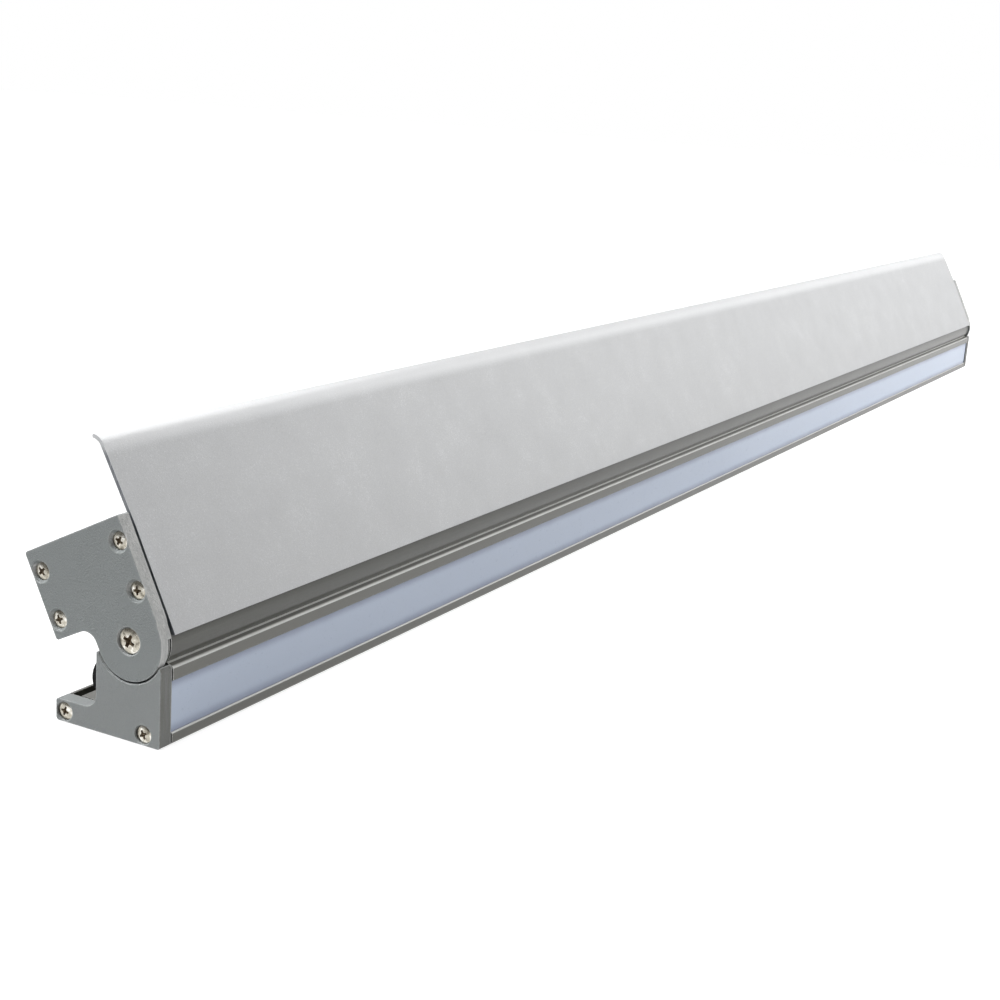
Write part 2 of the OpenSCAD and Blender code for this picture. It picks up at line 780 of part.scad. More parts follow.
// The driver end cap: full thickness round the box, thinner at the lobe
module head_cap() {
    fillet_v = box_low - lobe_fillet_r;
    reach = 2 * lobe_r;
    difference() {
        head_run(head_in_x, face_x) head_cap_outline();
        head_run(head_in_x - over, lobe_in_x) {
            circle(pocket_r);
            translate([-reach, -reach]) square([reach + over, reach - step_v]);
            translate([0, -reach]) square([reach, reach + fillet_v]);
        }
        head_run(head_in_x - over, face_x + over) {
            head_screw_holes(shank_r + pass_gap);
            circle(pivot_shank_r + pivot_fit);
        }
        head_frame() {
            for (u = head_screw_u, v = head_screw_v)
                translate([face_x - head_sink, u, v]) flared_sink(head_r, shank_r, head_sink);
            translate([face_x - pivot_sink, 0, 0])
                sink(pivot_head_r + recess_gap, pivot_shank_r + pivot_fit, pivot_sink);
        }
    }
}

module driver_end_cap_left() { color("#8b9090") at_end(-1) head_cap(); }
module driver_end_cap_right() { color("#8b9090") at_end(1) head_cap(); }

module driver_gasket() {
    inset = gasket_inset + slip;
    head_run(profile_x, head_in_x) difference() {
        box2([-visor_in, box_low], [box_rear, box_high], inset);
        circle(pocket_r + inset);
        head_screw_holes(shank_r + pass_gap);
    }
}

module driver_gasket_left() { color("#222222") at_end(-1) driver_gasket(); }
module driver_gasket_right() { color("#222222") at_end(1) driver_gasket(); }

// The four screws of a driver end cap
module driver_cap_screws() {
    head_frame() for (i = [0, 1], j = [0, 1])
        translate([face_x - head_sink, head_screw_u[i], head_screw_v[j]])
            cap_screw(head_r, shank_r, screw_l, dome_h, head_cross_angles[2 * i + j]);
}

module driver_cap_screws_left() { color("#b9b39f") at_end(-1) driver_cap_screws(); }
module driver_cap_screws_right() { color("#b9b39f") at_end(1) driver_cap_screws(); }

// Heights of the two rails that hold the visor
rail_heights = [rail_v - rail_pitch / 2, rail_v + rail_pitch / 2];

// T shape of a rail, or of its groove when it is grown by a clearance
module rail(v, gap) {
    translate([-visor_in, v]) {
        translate([-gap, -rail_neck_w / 2 - gap]) square([rail_neck_h + gap + slip, rail_neck_w + 2 * gap]);
        translate([rail_neck_h - gap, -rail_head_w / 2 - gap])
            square([rail_head_h + 2 * gap, rail_head_w + 2 * gap]);
    }
}

// The section of the driver housing: a box, hollowed over the barrel, with four screw ports
module box_section() {
    toe_v = box_low * toe_share;
    difference() {
        union() {
            difference() {
                union() {
                    box2([-visor_in, box_low], [box_rear, box_high]);
                    box2([-visor_in, toe_v], [0, box_low + over]);
                }
                difference() {
                    box2([-visor_in, box_low], [box_rear, box_high], box_wall);
                    circle(arc_r + box_wall);
                }
            }
            intersection() {
                box2([-visor_in, box_low], [box_rear, box_high]);
                union() {
                    head_screw_holes(port_r + port_wall);
                    box2([-visor_in, box_low], [head_screw_u[0] + port_r, head_screw_v[0]]);
                    box2([-visor_in, rail_heights[0] - rail_head_w],
                         [rail_boss_h + box_wall - visor_in, rail_heights[1] + rail_head_w]);
                    box2([-seat_rib_t / 2, arc_r], [seat_rib_t / 2, seat_v]);
                    box2([seat_block_u - seat_block_w / 2, box_low],
                         [seat_block_u + seat_block_w / 2, seat_v]);
                }
            }
        }
        circle(arc_r);
        head_screw_holes(port_r);
        for (v = rail_heights) rail(v, slip);
        translate([-visor_in, bend_v]) rotate(-bend_angle) box2([-over, 0], [slip, box_high]);
    }
}

// Places of the driver screws along the length
driver_screw_x = driver_l / 2 + driver_wall + ear_l / 2;

module driver_housing() {
    color("#a9aaa6") difference() {
        head_run(-profile_x, profile_x) box_section();
        for (side = [-1, 1]) {
            at_head_gland(side) {
                translate([0, 0, -box_wall - over])
                    cylinder(r = gland_thread_r + slip, h = box_wall + 2 * over);
                translate([0, 0, -box_wall - spot_d]) cylinder(r = gland_corner_r + slip, h = spot_d);
            }
            head_frame() translate([side * driver_screw_x, seat_block_u, box_low + box_wall / 2])
                cylinder(r = port_r, h = seat_v);
        }
    }
}

// The visor: a flat lower part with two rails, a slight bend, and a curled edge with a bead
module visor_section() {
    mid = visor_in + visor_t / 2;
    upper_l = curl_v - bend_v;
    box2([-visor_out, -visor_drop], [-visor_in, bend_v]);
    for (v = rail_heights) rail(v, 0);
    translate([-mid, bend_v]) {
        circle(visor_t / 2);
        rotate(-bend_angle) {
            box2([-visor_t / 2, 0], [visor_t / 2, upper_l]);
            translate([curl_r, upper_l]) {
                intersection() {
                    difference() {
                        circle(curl_r + visor_t / 2);
                        circle(curl_r - visor_t / 2);
                    }
                    far = 3 * curl_r;
                    polygon([[0, 0], [-far, 0], [-far, far * sin(curl_angle)],
                             [-far * cos(curl_angle), far * sin(curl_angle)]]);
                }
                rotate(-curl_angle) translate([-curl_r, 0]) circle(bead_r);
            }
        }
    }
}

module visor() {
    color("#c4c6c6") head_run(-profile_x, profile_x) visor_section();
}

// The driver: a case tube, two end covers with ears, a board with its parts
module driver_case() {
    low = [driver_u, seat_v];
    high = [driver_rear, seat_v + driver_h];
    color("#d6d6d2") head_run(-driver_l / 2, driver_l / 2) {
        difference() {
            box2(low, high);
            box2(low, high, driver_wall);
        }
        for (u = [driver_u, driver_rear - ledge_w]) box2([u, seat_v], [u + ledge_w, driver_board_v]);
    }
}

module driver_covers() {
    color("#3d3d42") head_frame() for (side = [-1, 1]) mirror([side < 0 ? 1 : 0, 0, 0])
        translate([driver_l / 2, 0, seat_v]) difference() {
            union() {
                translate([0, driver_u, 0]) cube([driver_wall, driver_w, driver_h]);
                translate([0, seat_block_u - ear_w / 2, 0]) cube([driver_wall + ear_l, ear_w, ear_t]);
            }
            translate([driver_wall + ear_l / 2, seat_block_u, -over])
                cylinder(r = shank_r + pass_gap, h = ear_t + 2 * over);
            translate([-over, (driver_u + driver_rear) / 2, driver_h * lead_height_share])
                rotate([0, 90, 0]) cylinder(r = gland_passage_r, h = driver_wall + 2 * over);
        }
}

module driver_board() {
    color("#2f6b3c") head_frame() translate([-driver_l / 2 + slip, driver_u + driver_wall, driver_board_v])
        cube([driver_l - 2 * slip, driver_w - 2 * driver_wall, board_t]);
}

// Transformer and capacitors on the driver board
module driver_parts() {
    top = seat_v + driver_h - driver_wall - driver_board_v - board_t;
    core = [driver_l * core_shares[0], driver_w * core_shares[1], top * core_shares[2]];
    mid_u = (driver_u + driver_rear) / 2;
    color("#c9a227") head_frame() translate([0, mid_u, driver_board_v + board_t]) {
        translate([-core[0] / 2, -core[1] / 2, 0]) cube(core);
        for (share = can_shares)
            translate([driver_l * share, 0, 0])
                cylinder(r = top * can_radius_share, h = top * can_height_share);
    }
}

module driver_screws() {
    color("#b9b39f") head_frame() for (side = [-1, 1])
        translate([side * driver_screw_x, seat_block_u, seat_v + ear_t]) {
            translate([0, 0, box_low + box_wall - seat_v])
                cylinder(r = shank_r, h = seat_v - box_low - box_wall);
            difference() {
                cylinder(r = head_r, h = board_screw_head_h);
                for (a = [0, 90]) rotate(a)
                    translate([-head_r / 2, -cross_w / 2, board_screw_head_h / 2])
                        cube([head_r, cross_w, board_screw_head_h]);
            }
        }
}

lamp_housing();
lamp_end_cap_left();
lamp_end_cap_right();
lamp_gasket_left();
lamp_gasket_right();
lamp_cap_screws_left();
lamp_cap_screws_right();
diffuser();
diffuser_seals();
led_board_left();
led_board_right();
led_chips();
board_screws();
thermal_pads();
board_terminal();
board_link();
lamp_gland_body();
lamp_gland_nut();
lamp_gland_seal();
lamp_gland_washer();
lamp_gland_locknut();
pivot_screw_left();
pivot_screw_right();
pivot_washer_left();
pivot_washer_right();
driver_housing();
driver_end_cap_left();
driver_end_cap_right();
driver_gasket_left();
driver_gasket_right();
driver_cap_screws_left();
driver_cap_screws_right();
visor();
driver_case();
driver_covers();
driver_board();
driver_parts();
driver_screws();
link_gland_body();
link_gland_nut();
link_gland_seal();
link_gland_washer();
link_gland_locknut();
supply_gland_body();
supply_gland_nut();
supply_gland_seal();
supply_gland_washer();
supply_gland_locknut();
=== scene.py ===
"""A linear wall washer light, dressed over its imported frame.

Two aluminium profiles run the whole length. The lower one carries the light engine behind an opal
cover and ends in a hollow barrel. The upper one holds the driver, tilts round the barrel and carries
the visor. Cast end caps, cross recess screws and cord glands complete it.
"""
from __future__ import annotations

import logging
import math
from collections.abc import Sequence
from dataclasses import dataclass
from enum import Enum

import bpy
from mathutils import Matrix, Vector

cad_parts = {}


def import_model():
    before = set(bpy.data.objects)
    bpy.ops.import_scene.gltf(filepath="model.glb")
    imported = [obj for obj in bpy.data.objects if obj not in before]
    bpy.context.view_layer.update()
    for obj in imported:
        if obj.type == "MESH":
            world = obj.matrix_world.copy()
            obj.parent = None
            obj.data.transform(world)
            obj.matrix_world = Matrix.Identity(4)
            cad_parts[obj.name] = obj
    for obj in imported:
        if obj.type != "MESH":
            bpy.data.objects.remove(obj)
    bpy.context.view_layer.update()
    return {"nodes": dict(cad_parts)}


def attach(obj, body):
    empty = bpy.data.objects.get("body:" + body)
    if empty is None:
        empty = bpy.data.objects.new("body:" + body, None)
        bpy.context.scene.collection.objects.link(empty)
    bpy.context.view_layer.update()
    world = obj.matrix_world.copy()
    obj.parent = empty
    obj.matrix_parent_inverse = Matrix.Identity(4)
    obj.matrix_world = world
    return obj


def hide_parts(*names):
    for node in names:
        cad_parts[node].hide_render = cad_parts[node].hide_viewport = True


LOG = logging.getLogger("wall_washer")
MM = 0.001
DOUBLE_MM = 0.0005
SAME_MM = 1e-4
RAIL_NECK = 1.1
FINE_GRAIN = 3.1
GRAIN_SHARES = (0.65, 0.35)
SPECK_AND_SPARKLE_TONES = (0.58, 0.76)
WIDE_LINES = 0.22
LINE_SHARES = (0.6, 0.4)
WEAR_SHINE_SPOTS = 700.0
WEAR_SHINE_TONES = (0.35, 0.6)
WEAR_SHINE_TURN = (0.01, 0.12)
SLOW_TONES = (0.3, 0.7)

Point = tuple[float, float]
Corner = tuple[float, float, float]
Colour = tuple[int, int, int]
Piece = bpy.types.Object
Socket = bpy.types.NodeSocket


class Side(Enum):
    """The two ends of the lamp."""

    LEFT = "left"
    RIGHT = "right"


class Body(Enum):
    """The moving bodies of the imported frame."""

    LAMP = "lamp_body"
    HEAD = "visor_head"


class Frame(Enum):
    """The frame that a piece is drawn in before it goes to its place."""

    SECTION = "section"
    HEAD = "head"


def arc(centre: Point, radius: float, start: float, end: float, turn: float = 6.0) -> list[Point]:
    """Points along an arc, its ends included.

    Args:
        centre: middle of the arc.
        radius: its radius.
        start: angle of the first point in degrees.
        end: angle of the last point in degrees; a lower one runs clockwise.
        turn: largest step between points in degrees.

    Returns:
        The points in order.
    """
    steps = max(2, math.ceil(abs(end - start) / turn))
    angles = [math.radians(start + (end - start) * i / steps) for i in range(steps + 1)]
    return [(centre[0] + radius * math.cos(a), centre[1] + radius * math.sin(a)) for a in angles]


def sharp(points: list[Point]) -> list[Corner]:
    """The same points as corners with no rounding."""
    return [(a, b, 0.0) for a, b in points]


def rounded(corners: list[Corner], turn: float = 15.0) -> list[Point]:
    """Closed outline whose corners are rounded by their own radius.

    Args:
        corners: places and radii in order round the outline.
        turn: largest step along an arc in degrees.

    Returns:
        The points of the outline.
    """
    points: list[Point] = []
    count = len(corners)
    for i, (a, b, radius) in enumerate(corners):
        here = Vector((a, b))
        if radius <= 0:
            points.append((a, b))
            continue
        back = (Vector(corners[i - 1][:2]) - here).normalized()
        ahead = (Vector(corners[(i + 1) % count][:2]) - here).normalized()
        half = back.angle(ahead) / 2
        middle = here + (back + ahead).normalized() * (radius / math.sin(half))
        first = here + back * (radius / math.tan(half)) - middle
        last = here + ahead * (radius / math.tan(half)) - middle
        start = math.degrees(math.atan2(first.y, first.x))
        sweep = math.degrees(math.atan2(last.y, last.x)) - start
        sweep = (sweep + 180) % 360 - 180
        points += arc((middle.x, middle.y), radius, start, start + sweep, turn)
    return points


def rail(u: float, v: float, neck: float, head: float, deep: float) -> list[Corner]:
    """The T outline of a rail or of its groove, from the top down.

    Args:
        u: face that it starts from.
        v: its middle.
        neck: half the width of its neck.
        head: half the width of its head.
        deep: how far it reaches behind the face.

    Returns:
        Its eight corners.
    """
    side = [(u, neck), (u + RAIL_NECK, neck), (u + RAIL_NECK, head), (u + deep, head)]
    return sharp([(a, v + b) for a, b in side] + [(a, v - b) for a, b in reversed(side)])


class Bench:
    """Modelling steps on millimetre pieces; every piece goes to its place in metres at the end."""

    @staticmethod
    def clear() -> None:
        """Leaves edit mode and deselects everything."""
        if bpy.context.object is not None and bpy.context.object.mode != "OBJECT":
            bpy.ops.object.mode_set(mode="OBJECT")
        bpy.ops.object.select_all(action="DESELECT")

    @staticmethod
    def take(piece: Piece) -> None:
        """Makes one piece the only selected and the active one.

        Args:
            piece: the piece.
        """
        Bench.clear()
        piece.select_set(True)
        bpy.context.view_layer.objects.active = piece

    @staticmethod
    def edit(piece: Piece) -> None:
        """Opens a piece in edit mode with all of it selected.

        Args:
            piece: the piece.
        """
        Bench.take(piece)
        bpy.ops.object.mode_set(mode="EDIT")
        bpy.ops.mesh.select_all(action="SELECT")

    @staticmethod
    def close() -> None:
        """Ends edit mode, with doubles merged and normals turned outward."""
        bpy.ops.mesh.select_all(action="SELECT")
        bpy.ops.mesh.remove_doubles(threshold=DOUBLE_MM)
        bpy.ops.mesh.normals_make_consistent(inside=False)
        bpy.ops.object.mode_set(mode="OBJECT")

    @staticmethod
    def chain(name: str, points: list[Vector]) -> Piece:
        """Draws a line of edges, point by point, and leaves it in edit mode.

        Args:
            name: name of the new piece.
            points: places in order.

        Returns:
            The piece, with its last point selected.
        """
        Bench.clear()
        bpy.ops.mesh.primitive_plane_add(size=1, location=points[0])
        piece = bpy.context.object
        piece.name = piece.data.name = name
        bpy.ops.object.transform_apply(location=True, rotation=True, scale=True)
        bpy.ops.object.mode_set(mode="EDIT")
        bpy.ops.mesh.select_mode(type="VERT")
        bpy.ops.mesh.select_all(action="SELECT")
        bpy.ops.mesh.merge(type="CENTER")
        for last, here in zip(points, points[1:]):
            bpy.ops.mesh.extrude_vertices_move(TRANSFORM_OT_translate={"value": here - last})
        return piece

    @staticmethod
    def bar(name: str, outline: list[Point], low: float, high: float) -> Piece:
        """A solid with one section along X.

        Args:
            name: name of the piece.
            outline: section across X, in order.
            low: lower end along X.
            high: upper end along X.

        Returns:
            The closed solid.
        """
        line = [Vector((low, a, b)) for a, b in outline]
        piece = Bench.chain(name, line + line[:1])
        bpy.ops.mesh.select_all(action="SELECT")
        bpy.ops.mesh.remove_doubles(threshold=DOUBLE_MM)
        bpy.ops.mesh.edge_face_add()
        bpy.ops.mesh.extrude_region_move(TRANSFORM_OT_translate={"value": (high - low, 0, 0)})
        Bench.close()
        return piece

    @staticmethod
    def turned(name: str, profile: Sequence[Point], steps: int = 48) -> Piece:
        """A solid of revolution round X.

        Args:
            name: name of the piece.
            profile: place along X and radius, in order; a radius of 0 closes a pole.
            steps: facets round the axis.

        Returns:
            The closed solid.
        """
        piece = Bench.chain(name, [Vector((x, r, 0)) for x, r in profile])
        bpy.ops.mesh.select_all(action="SELECT")
        bpy.ops.mesh.spin(steps=steps, angle=math.tau, center=(0, 0, 0), axis=(1, 0, 0))
        Bench.close()
        return piece

    @staticmethod
    def block(name: str, low: Vector, high: Vector) -> Piece:
        """A box between two corners, used as a start or as a cutter.

        Args:
            name: name of the piece.
            low: its lowest corner.
            high: its highest corner.

        Returns:
            The closed box.
        """
        Bench.clear()
        bpy.ops.mesh.primitive_cube_add(size=1, location=(low + high) / 2)
        piece = bpy.context.object
        piece.name = piece.data.name = name
        piece.scale = high - low
        bpy.ops.object.transform_apply(location=True, rotation=True, scale=True)
        return piece

    @staticmethod
    def rod(name: str, low: float, high: float, at: Point, radius: float, end_radius: float | None = None,
            sides: int = 64) -> Piece:
        """A round bar or cone along X.

        Args:
            name: name of the piece.
            low: lower end along X.
            high: upper end along X.
            at: place of its axis across X.
            radius: radius at the lower end.
            end_radius: radius at the upper end, where it differs.
            sides: facets round it.

        Returns:
            The closed solid.
        """
        Bench.clear()
        bpy.ops.mesh.primitive_cone_add(
            vertices=sides, radius1=radius, radius2=radius if end_radius is None else end_radius,
            depth=high - low, location=((low + high) / 2, at[0], at[1]), rotation=(0, math.pi / 2, 0))
        piece = bpy.context.object
        piece.name = piece.data.name = name
        bpy.ops.object.transform_apply(location=True, rotation=True, scale=True)
        return piece

    @staticmethod
    def seat(name: str, x: float, at: Point, steps: list[Point]) -> Piece:
        """A turned cutter for a screw seat.

        Args:
            name: name of the cutter.
            x: place of the outer face, with the depth running to +X.
            at: place of the axis across X.
            steps: depth and radius, in order from outside to inside.

        Returns:
            The closed cutter.
        """
        profile = [(steps[0][0], 0.0)] + steps + [(steps[-1][0], 0.0)]
        cutter = Bench.turned(name, profile, 56)
        return Bench.moved(cutter, Matrix.Translation((x, at[0], at[1])))

    @staticmethod
    def combine(piece: Piece, others: list[Piece], how: str = "DIFFERENCE",
                carry: bool = False) -> Piece:
        """Cuts or joins pieces with the exact solver and removes the others.

        Args:
            piece: the piece that stays.
            others: the pieces used on it.
            how: DIFFERENCE, UNION or INTERSECT.
            carry: whether the cut faces take the cutter's own material.

        Returns:
            The piece that stays.
        """
        for other in others:
            Bench.take(piece)
            step = piece.modifiers.new("combine", "BOOLEAN")
            step.operation = how
            step.solver = "EXACT"
            step.object = other
            step.material_mode = "TRANSFER" if carry else "INDEX"
            bpy.ops.object.modifier_apply(modifier=step.name)
            bpy.data.objects.remove(other, do_unlink=True)
        return piece

    @staticmethod
    def soften_face(piece: Piece, x: float, width: float, segments: int = 4) -> None:
        """Rounds the edges round the flat end at one place along X, in edit mode.

        Args:
            piece: the piece.
            x: place of the end face.
            width: reach of the rounding on either side.
            segments: steps of the rounding.
        """
        Bench.edit(piece)
        bpy.ops.mesh.select_all(action="DESELECT")
        bpy.ops.mesh.select_mode(type="EDGE")
        bpy.ops.object.mode_set(mode="OBJECT")
        mesh = piece.data
        for edge in mesh.edges:
            edge.select = all(abs(mesh.vertices[v].co.x - x) < SAME_MM for v in edge.vertices)
        bpy.ops.object.mode_set(mode="EDIT")
        bpy.ops.mesh.bevel(offset=width, segments=segments, affect="EDGES", clamp_overlap=True)
        Bench.close()

    @staticmethod
    def copy(piece: Piece, name: str) -> Piece:
        """A copy with its own mesh.

        Args:
            piece: the piece to copy.
            name: name of the copy.

        Returns:
            The copy.
        """
        twin = piece.copy()
        twin.data = piece.data.copy()
        twin.name = twin.data.name = name
        bpy.context.collection.objects.link(twin)
        return twin

    @staticmethod
    def moved(piece: Piece, matrix: Matrix) -> Piece:
        """Moves a piece and takes the move into its mesh.

        Args:
            piece: the piece.
            matrix: where it goes.

        Returns:
            The same piece.
        """
        Bench.take(piece)
        piece.matrix_world = matrix
        bpy.ops.object.transform_apply(location=True, rotation=True, scale=True)
        return piece

    @staticmethod
    def mirrored(piece: Piece, name: str) -> Piece:
        """A copy for the other end, mirrored across the middle, with its normals set right again.

        Args:
            piece: the piece to mirror.
            name: name of the copy.

        Returns:
            The mirrored copy.
        """
        twin = Bench.copy(piece, name)
        Bench.moved(twin, Matrix.Diagonal((-1, 1, 1, 1)))
        Bench.edit(twin)
        Bench.close()
        return twin


def facing_rear(x: float, height: float) -> Matrix:
    """The matrix that turns a cutter along X to the rear, at a place along the light."""
    return Matrix.Translation((x, 0, height)) @ Matrix.Rotation(-math.pi / 2, 4, "Z")


def linear(colour: Colour) -> tuple[float, float, float, float]:
    """The linear colour of an 8 bit one.

    Args:
        colour: the 8 bit colour.

    Returns:
        Its linear parts, with an opacity of 1.
    """
    parts = [c / 255 for c in colour]
    parts = [c / 12.92 if c <= 0.04045 else ((c + 0.055) / 1.055) ** 2.4 for c in parts]
    return (parts[0], parts[1], parts[2], 1.0)


class Nodes:
    """A node tree with short ways to add and link nodes."""

    def __init__(self, tree: bpy.types.NodeTree) -> None:
        """Takes the tree to build in."""
        self.tree = tree

    def add(self, kind: str, values: dict | None = None, **props: object) -> bpy.types.Node:
        """Adds a node.

        Args:
            kind: node type without the ShaderNode prefix.
            values: socket values, or sockets to link from, by input name or index.
            props: properties of the node.

        Returns:
            The node.
        """
        node = self.tree.nodes.new("ShaderNode" + kind)
        for key, value in props.items():
            setattr(node, key, value)
        self.fill_all(node, values or {})
        return node

    def fill_all(self, node: bpy.types.Node, values: dict) -> None:
        """Links the inputs of a node to sockets, or sets their values.

        Args:
            node: the node.
            values: sockets to link from, or values, by input name or index.
        """
        for key, value in values.items():
            if isinstance(value, Socket):
                self.tree.links.new(value, node.inputs[key])
            else:
                node.inputs[key].default_value = value

    def math(self, operation: str, a: object, b: object = 0.0, clamp: bool = False) -> Socket:
        """The result of one math node."""
        return self.add("Math", {0: a, 1: b}, operation=operation, use_clamp=clamp).outputs[0]

    def mix(self, factor: object, a: object, b: object) -> Socket:
        """The result of mixing two colours."""
        return self.add("Mix", {0: factor, 6: a, 7: b}, data_type="RGBA").outputs[2]

    def blend(self, factor: object, a: object, b: object) -> Socket:
        """A value between two others."""
        return self.add("Mix", {0: factor, 2: a, 3: b}, data_type="FLOAT").outputs[0]

    def ramp(self, value: object, low: float, high: float, out_low: float = 0.0,
             out_high: float = 1.0) -> Socket:
        """A value taken smoothly from one range to another."""
        return self.add("MapRange", {0: value, 1: low, 2: high, 3: out_low, 4: out_high},
                        interpolation_type="SMOOTHSTEP").outputs[0]

    def weighed(self, a: object, b: object, shares: Point) -> Socket:
        """The sum of two values, each times its share."""
        return self.math("ADD", self.math("MULTIPLY", a, shares[0]), self.math("MULTIPLY", b, shares[1]))

    def around_half(self, value: object, strength: float) -> Socket:
        """How far a value is from a half, times a strength."""
        return self.math("MULTIPLY", self.math("SUBTRACT", value, 0.5), strength)

    def noise(self, place: object, scale: object, detail: float = 2.0,
              rough: float = 0.5) -> Socket:
        """The value of a noise texture."""
        return self.add("TexNoise", {"Vector": place, "Scale": scale, "Detail": detail,
                                     "Roughness": rough}).outputs[0]


class Effect:
    """A shader node group with named inputs and outputs."""

    def __init__(self, name: str, inputs: dict[str, tuple[str, object]], outputs: dict[str, str]) -> None:
        """Makes the group's sockets and its two end nodes.

        Args:
            name: name of the group.
            inputs: kind and default value of each input, by name.
            outputs: kind of each output, by name.
        """
        self.group = bpy.data.node_groups.new(name, "ShaderNodeTree")
        for key, (kind, value) in inputs.items():
            socket = self.group.interface.new_socket(key, in_out="INPUT", socket_type="NodeSocket" + kind)
            if value is not None:
                socket.default_value = value
        for key, kind in outputs.items():
            self.group.interface.new_socket(key, in_out="OUTPUT", socket_type="NodeSocket" + kind)
        self.nodes = Nodes(self.group)
        self.source = self.group.nodes.new("NodeGroupInput")
        self.sink = self.group.nodes.new("NodeGroupOutput")

    def read(self, key: str) -> Socket:
        """One input inside the group."""
        return self.source.outputs[key]

    def give(self, key: str, socket: Socket) -> None:
        """Sends a socket out of the group."""
        self.group.links.new(socket, self.sink.inputs[key])


def make_grain() -> Effect:
    """Fine irregular grain: an even height and a tone, with bright flecks that are painted sparkle on metal.

    Returns:
        The group.
    """
    effect = Effect("fine grain", {"Position": ("Vector", None), "Scale": ("Float", 1500.0),
                                   "Specks and sparkle": ("Float", 0.3)}, {"Height": "Float", "Tone": "Float"})
    n = effect.nodes
    place = effect.read("Position")
    scale = effect.read("Scale")
    broad = n.noise(place, scale, 3.0, 0.6)
    fine = n.noise(place, n.math("MULTIPLY", scale, FINE_GRAIN), 2.0, 0.7)
    height = n.weighed(broad, fine, GRAIN_SHARES)
    specks_and_sparkle = n.math("MULTIPLY", n.ramp(fine, *SPECK_AND_SPARKLE_TONES), effect.read("Specks and sparkle"))
    effect.give("Height", height)
    effect.give("Tone", n.math("ADD", height, specks_and_sparkle))
    return effect


def make_streaks() -> Effect:
    """Drawn lines: noise stretched along the directions whose factor is small.

    Returns:
        The group.
    """
    effect = Effect("drawn lines", {"Position": ("Vector", None), "Stretch": ("Vector", (1.0, 1.0, 1.0)),
                                    "Scale": ("Float", 900.0)}, {"Height": "Float", "Tone": "Float"})
    n = effect.nodes
    place = n.add("VectorMath", {0: effect.read("Position"), 1: effect.read("Stretch")},
                  operation="MULTIPLY").outputs[0]
    lines = n.noise(place, effect.read("Scale"), 4.0, 0.75)
    wide = n.noise(place, n.math("MULTIPLY", effect.read("Scale"), WIDE_LINES), 2.0, 0.5)
    effect.give("Height", lines)
    effect.give("Tone", n.weighed(lines, wide, LINE_SHARES))
    return effect


def make_wear_shine() -> Effect:
    """A broken mask along rounded and sharp edges, from the rounded normal: partly worn, partly painted
    highlight.

    Returns:
        The group.
    """
    effect = Effect("edge wear and shine", {"Position": ("Vector", None), "Radius": ("Float", 0.0006),
                                  "Breakup": ("Float", 0.4)}, {"Mask": "Float"})
    n = effect.nodes
    soft = n.add("Bevel", {"Radius": effect.read("Radius")}, samples=6).outputs[0]
    flat = n.add("NewGeometry").outputs["Normal"]
    match = n.add("VectorMath", {0: soft, 1: flat}, operation="DOT_PRODUCT").outputs[1]
    turn = n.math("SUBTRACT", 1.0, match)
    spots = n.noise(effect.read("Position"), WEAR_SHINE_SPOTS, 3.0, 0.7)
    spots = n.math("MULTIPLY", n.ramp(spots, *WEAR_SHINE_TONES), effect.read("Breakup"))
    effect.give("Mask", n.math("SUBTRACT", n.ramp(turn, *WEAR_SHINE_TURN), spots, clamp=True))
    return effect


def make_blotch_sheens() -> Effect:
    """Slow changes of tone over a surface between two limits; on the small screw heads, painted reflections.

    Returns:
        The group.
    """
    effect = Effect("slow tone", {"Position": ("Vector", None), "Scale": ("Float", 40.0),
                                  "Low": ("Float", 0.0), "High": ("Float", 1.0)}, {"Tone": "Float"})
    n = effect.nodes
    tone = n.noise(effect.read("Position"), effect.read("Scale"), 3.0, 0.55)
    low, high = SLOW_TONES
    span = n.add("MapRange", {0: tone, 1: low, 2: high, 3: effect.read("Low"), 4: effect.read("High")})
    effect.give("Tone", span.outputs[0])
    return effect


class Lie(Enum):
    """The way that drawn lines run over a piece."""

    NONE = (1.0, 1.0, 1.0)
    ALONG = (0.012, 1.0, 1.0)
    UPRIGHT = (1.0, 1.0, 0.03)


class Facing(Enum):
    """Which faces of a piece take a finish's second colour: painted light if paler, painted shade if darker.
    """

    FRONT = 1
    ENDS = 0


@dataclass(frozen=True)
class Finish:
    """A finish: its colours, its gloss and how strong each effect is on it.

    Scales are per metre, and highlights, band and radii are in metres on the object. The grain and the
    drawn lines change the tone and the height, and the slow tone only the tone. The grain's bright flecks
    are flecks in the surface and, on the metals, painted sparkle; the slow tone on the small screw heads is
    painted reflection. The second colour goes on the faces that facing names: painted light where it is
    paler and painted shade where it is darker. Each painted highlight is a height and half a width, a
    bright line where an edge catches the light, and the front limit of the highlights is how far back
    along Y they reach. A band is the lowest and highest height of the plain tone, with painted shade above
    and below it. The pale edges are partly worn and partly painted highlight, and the light colour is the
    palest tone and the colour of the highlights and of the pale edges.
    """

    name: str
    colour: Colour
    dark: Colour
    light: Colour
    roughness: float
    metallic: float = 0.0
    grain: float = 1500.0
    grain_tone: float = 0.3
    grain_depth: float = 0.02
    specks_and_sparkle: float = 0.2
    lie: Lie = Lie.NONE
    line_tone: float = 0.0
    line_depth: float = 0.0
    wear_shine: float = 0.0
    wear_shine_radius: float = 0.0006
    blotch_sheen: float = 0.3
    blotch_sheen_scale: float = 55.0
    coat: float = 0.0
    subsurface: float = 0.0
    specular: float = 0.5
    second: Colour | None = None
    second_share: float = 0.0
    facing: Facing = Facing.FRONT
    painted_highlights: tuple[Point, ...] = ()
    highlight_share: float = 0.8
    highlight_front: float = 1.0
    band: Point | None = None


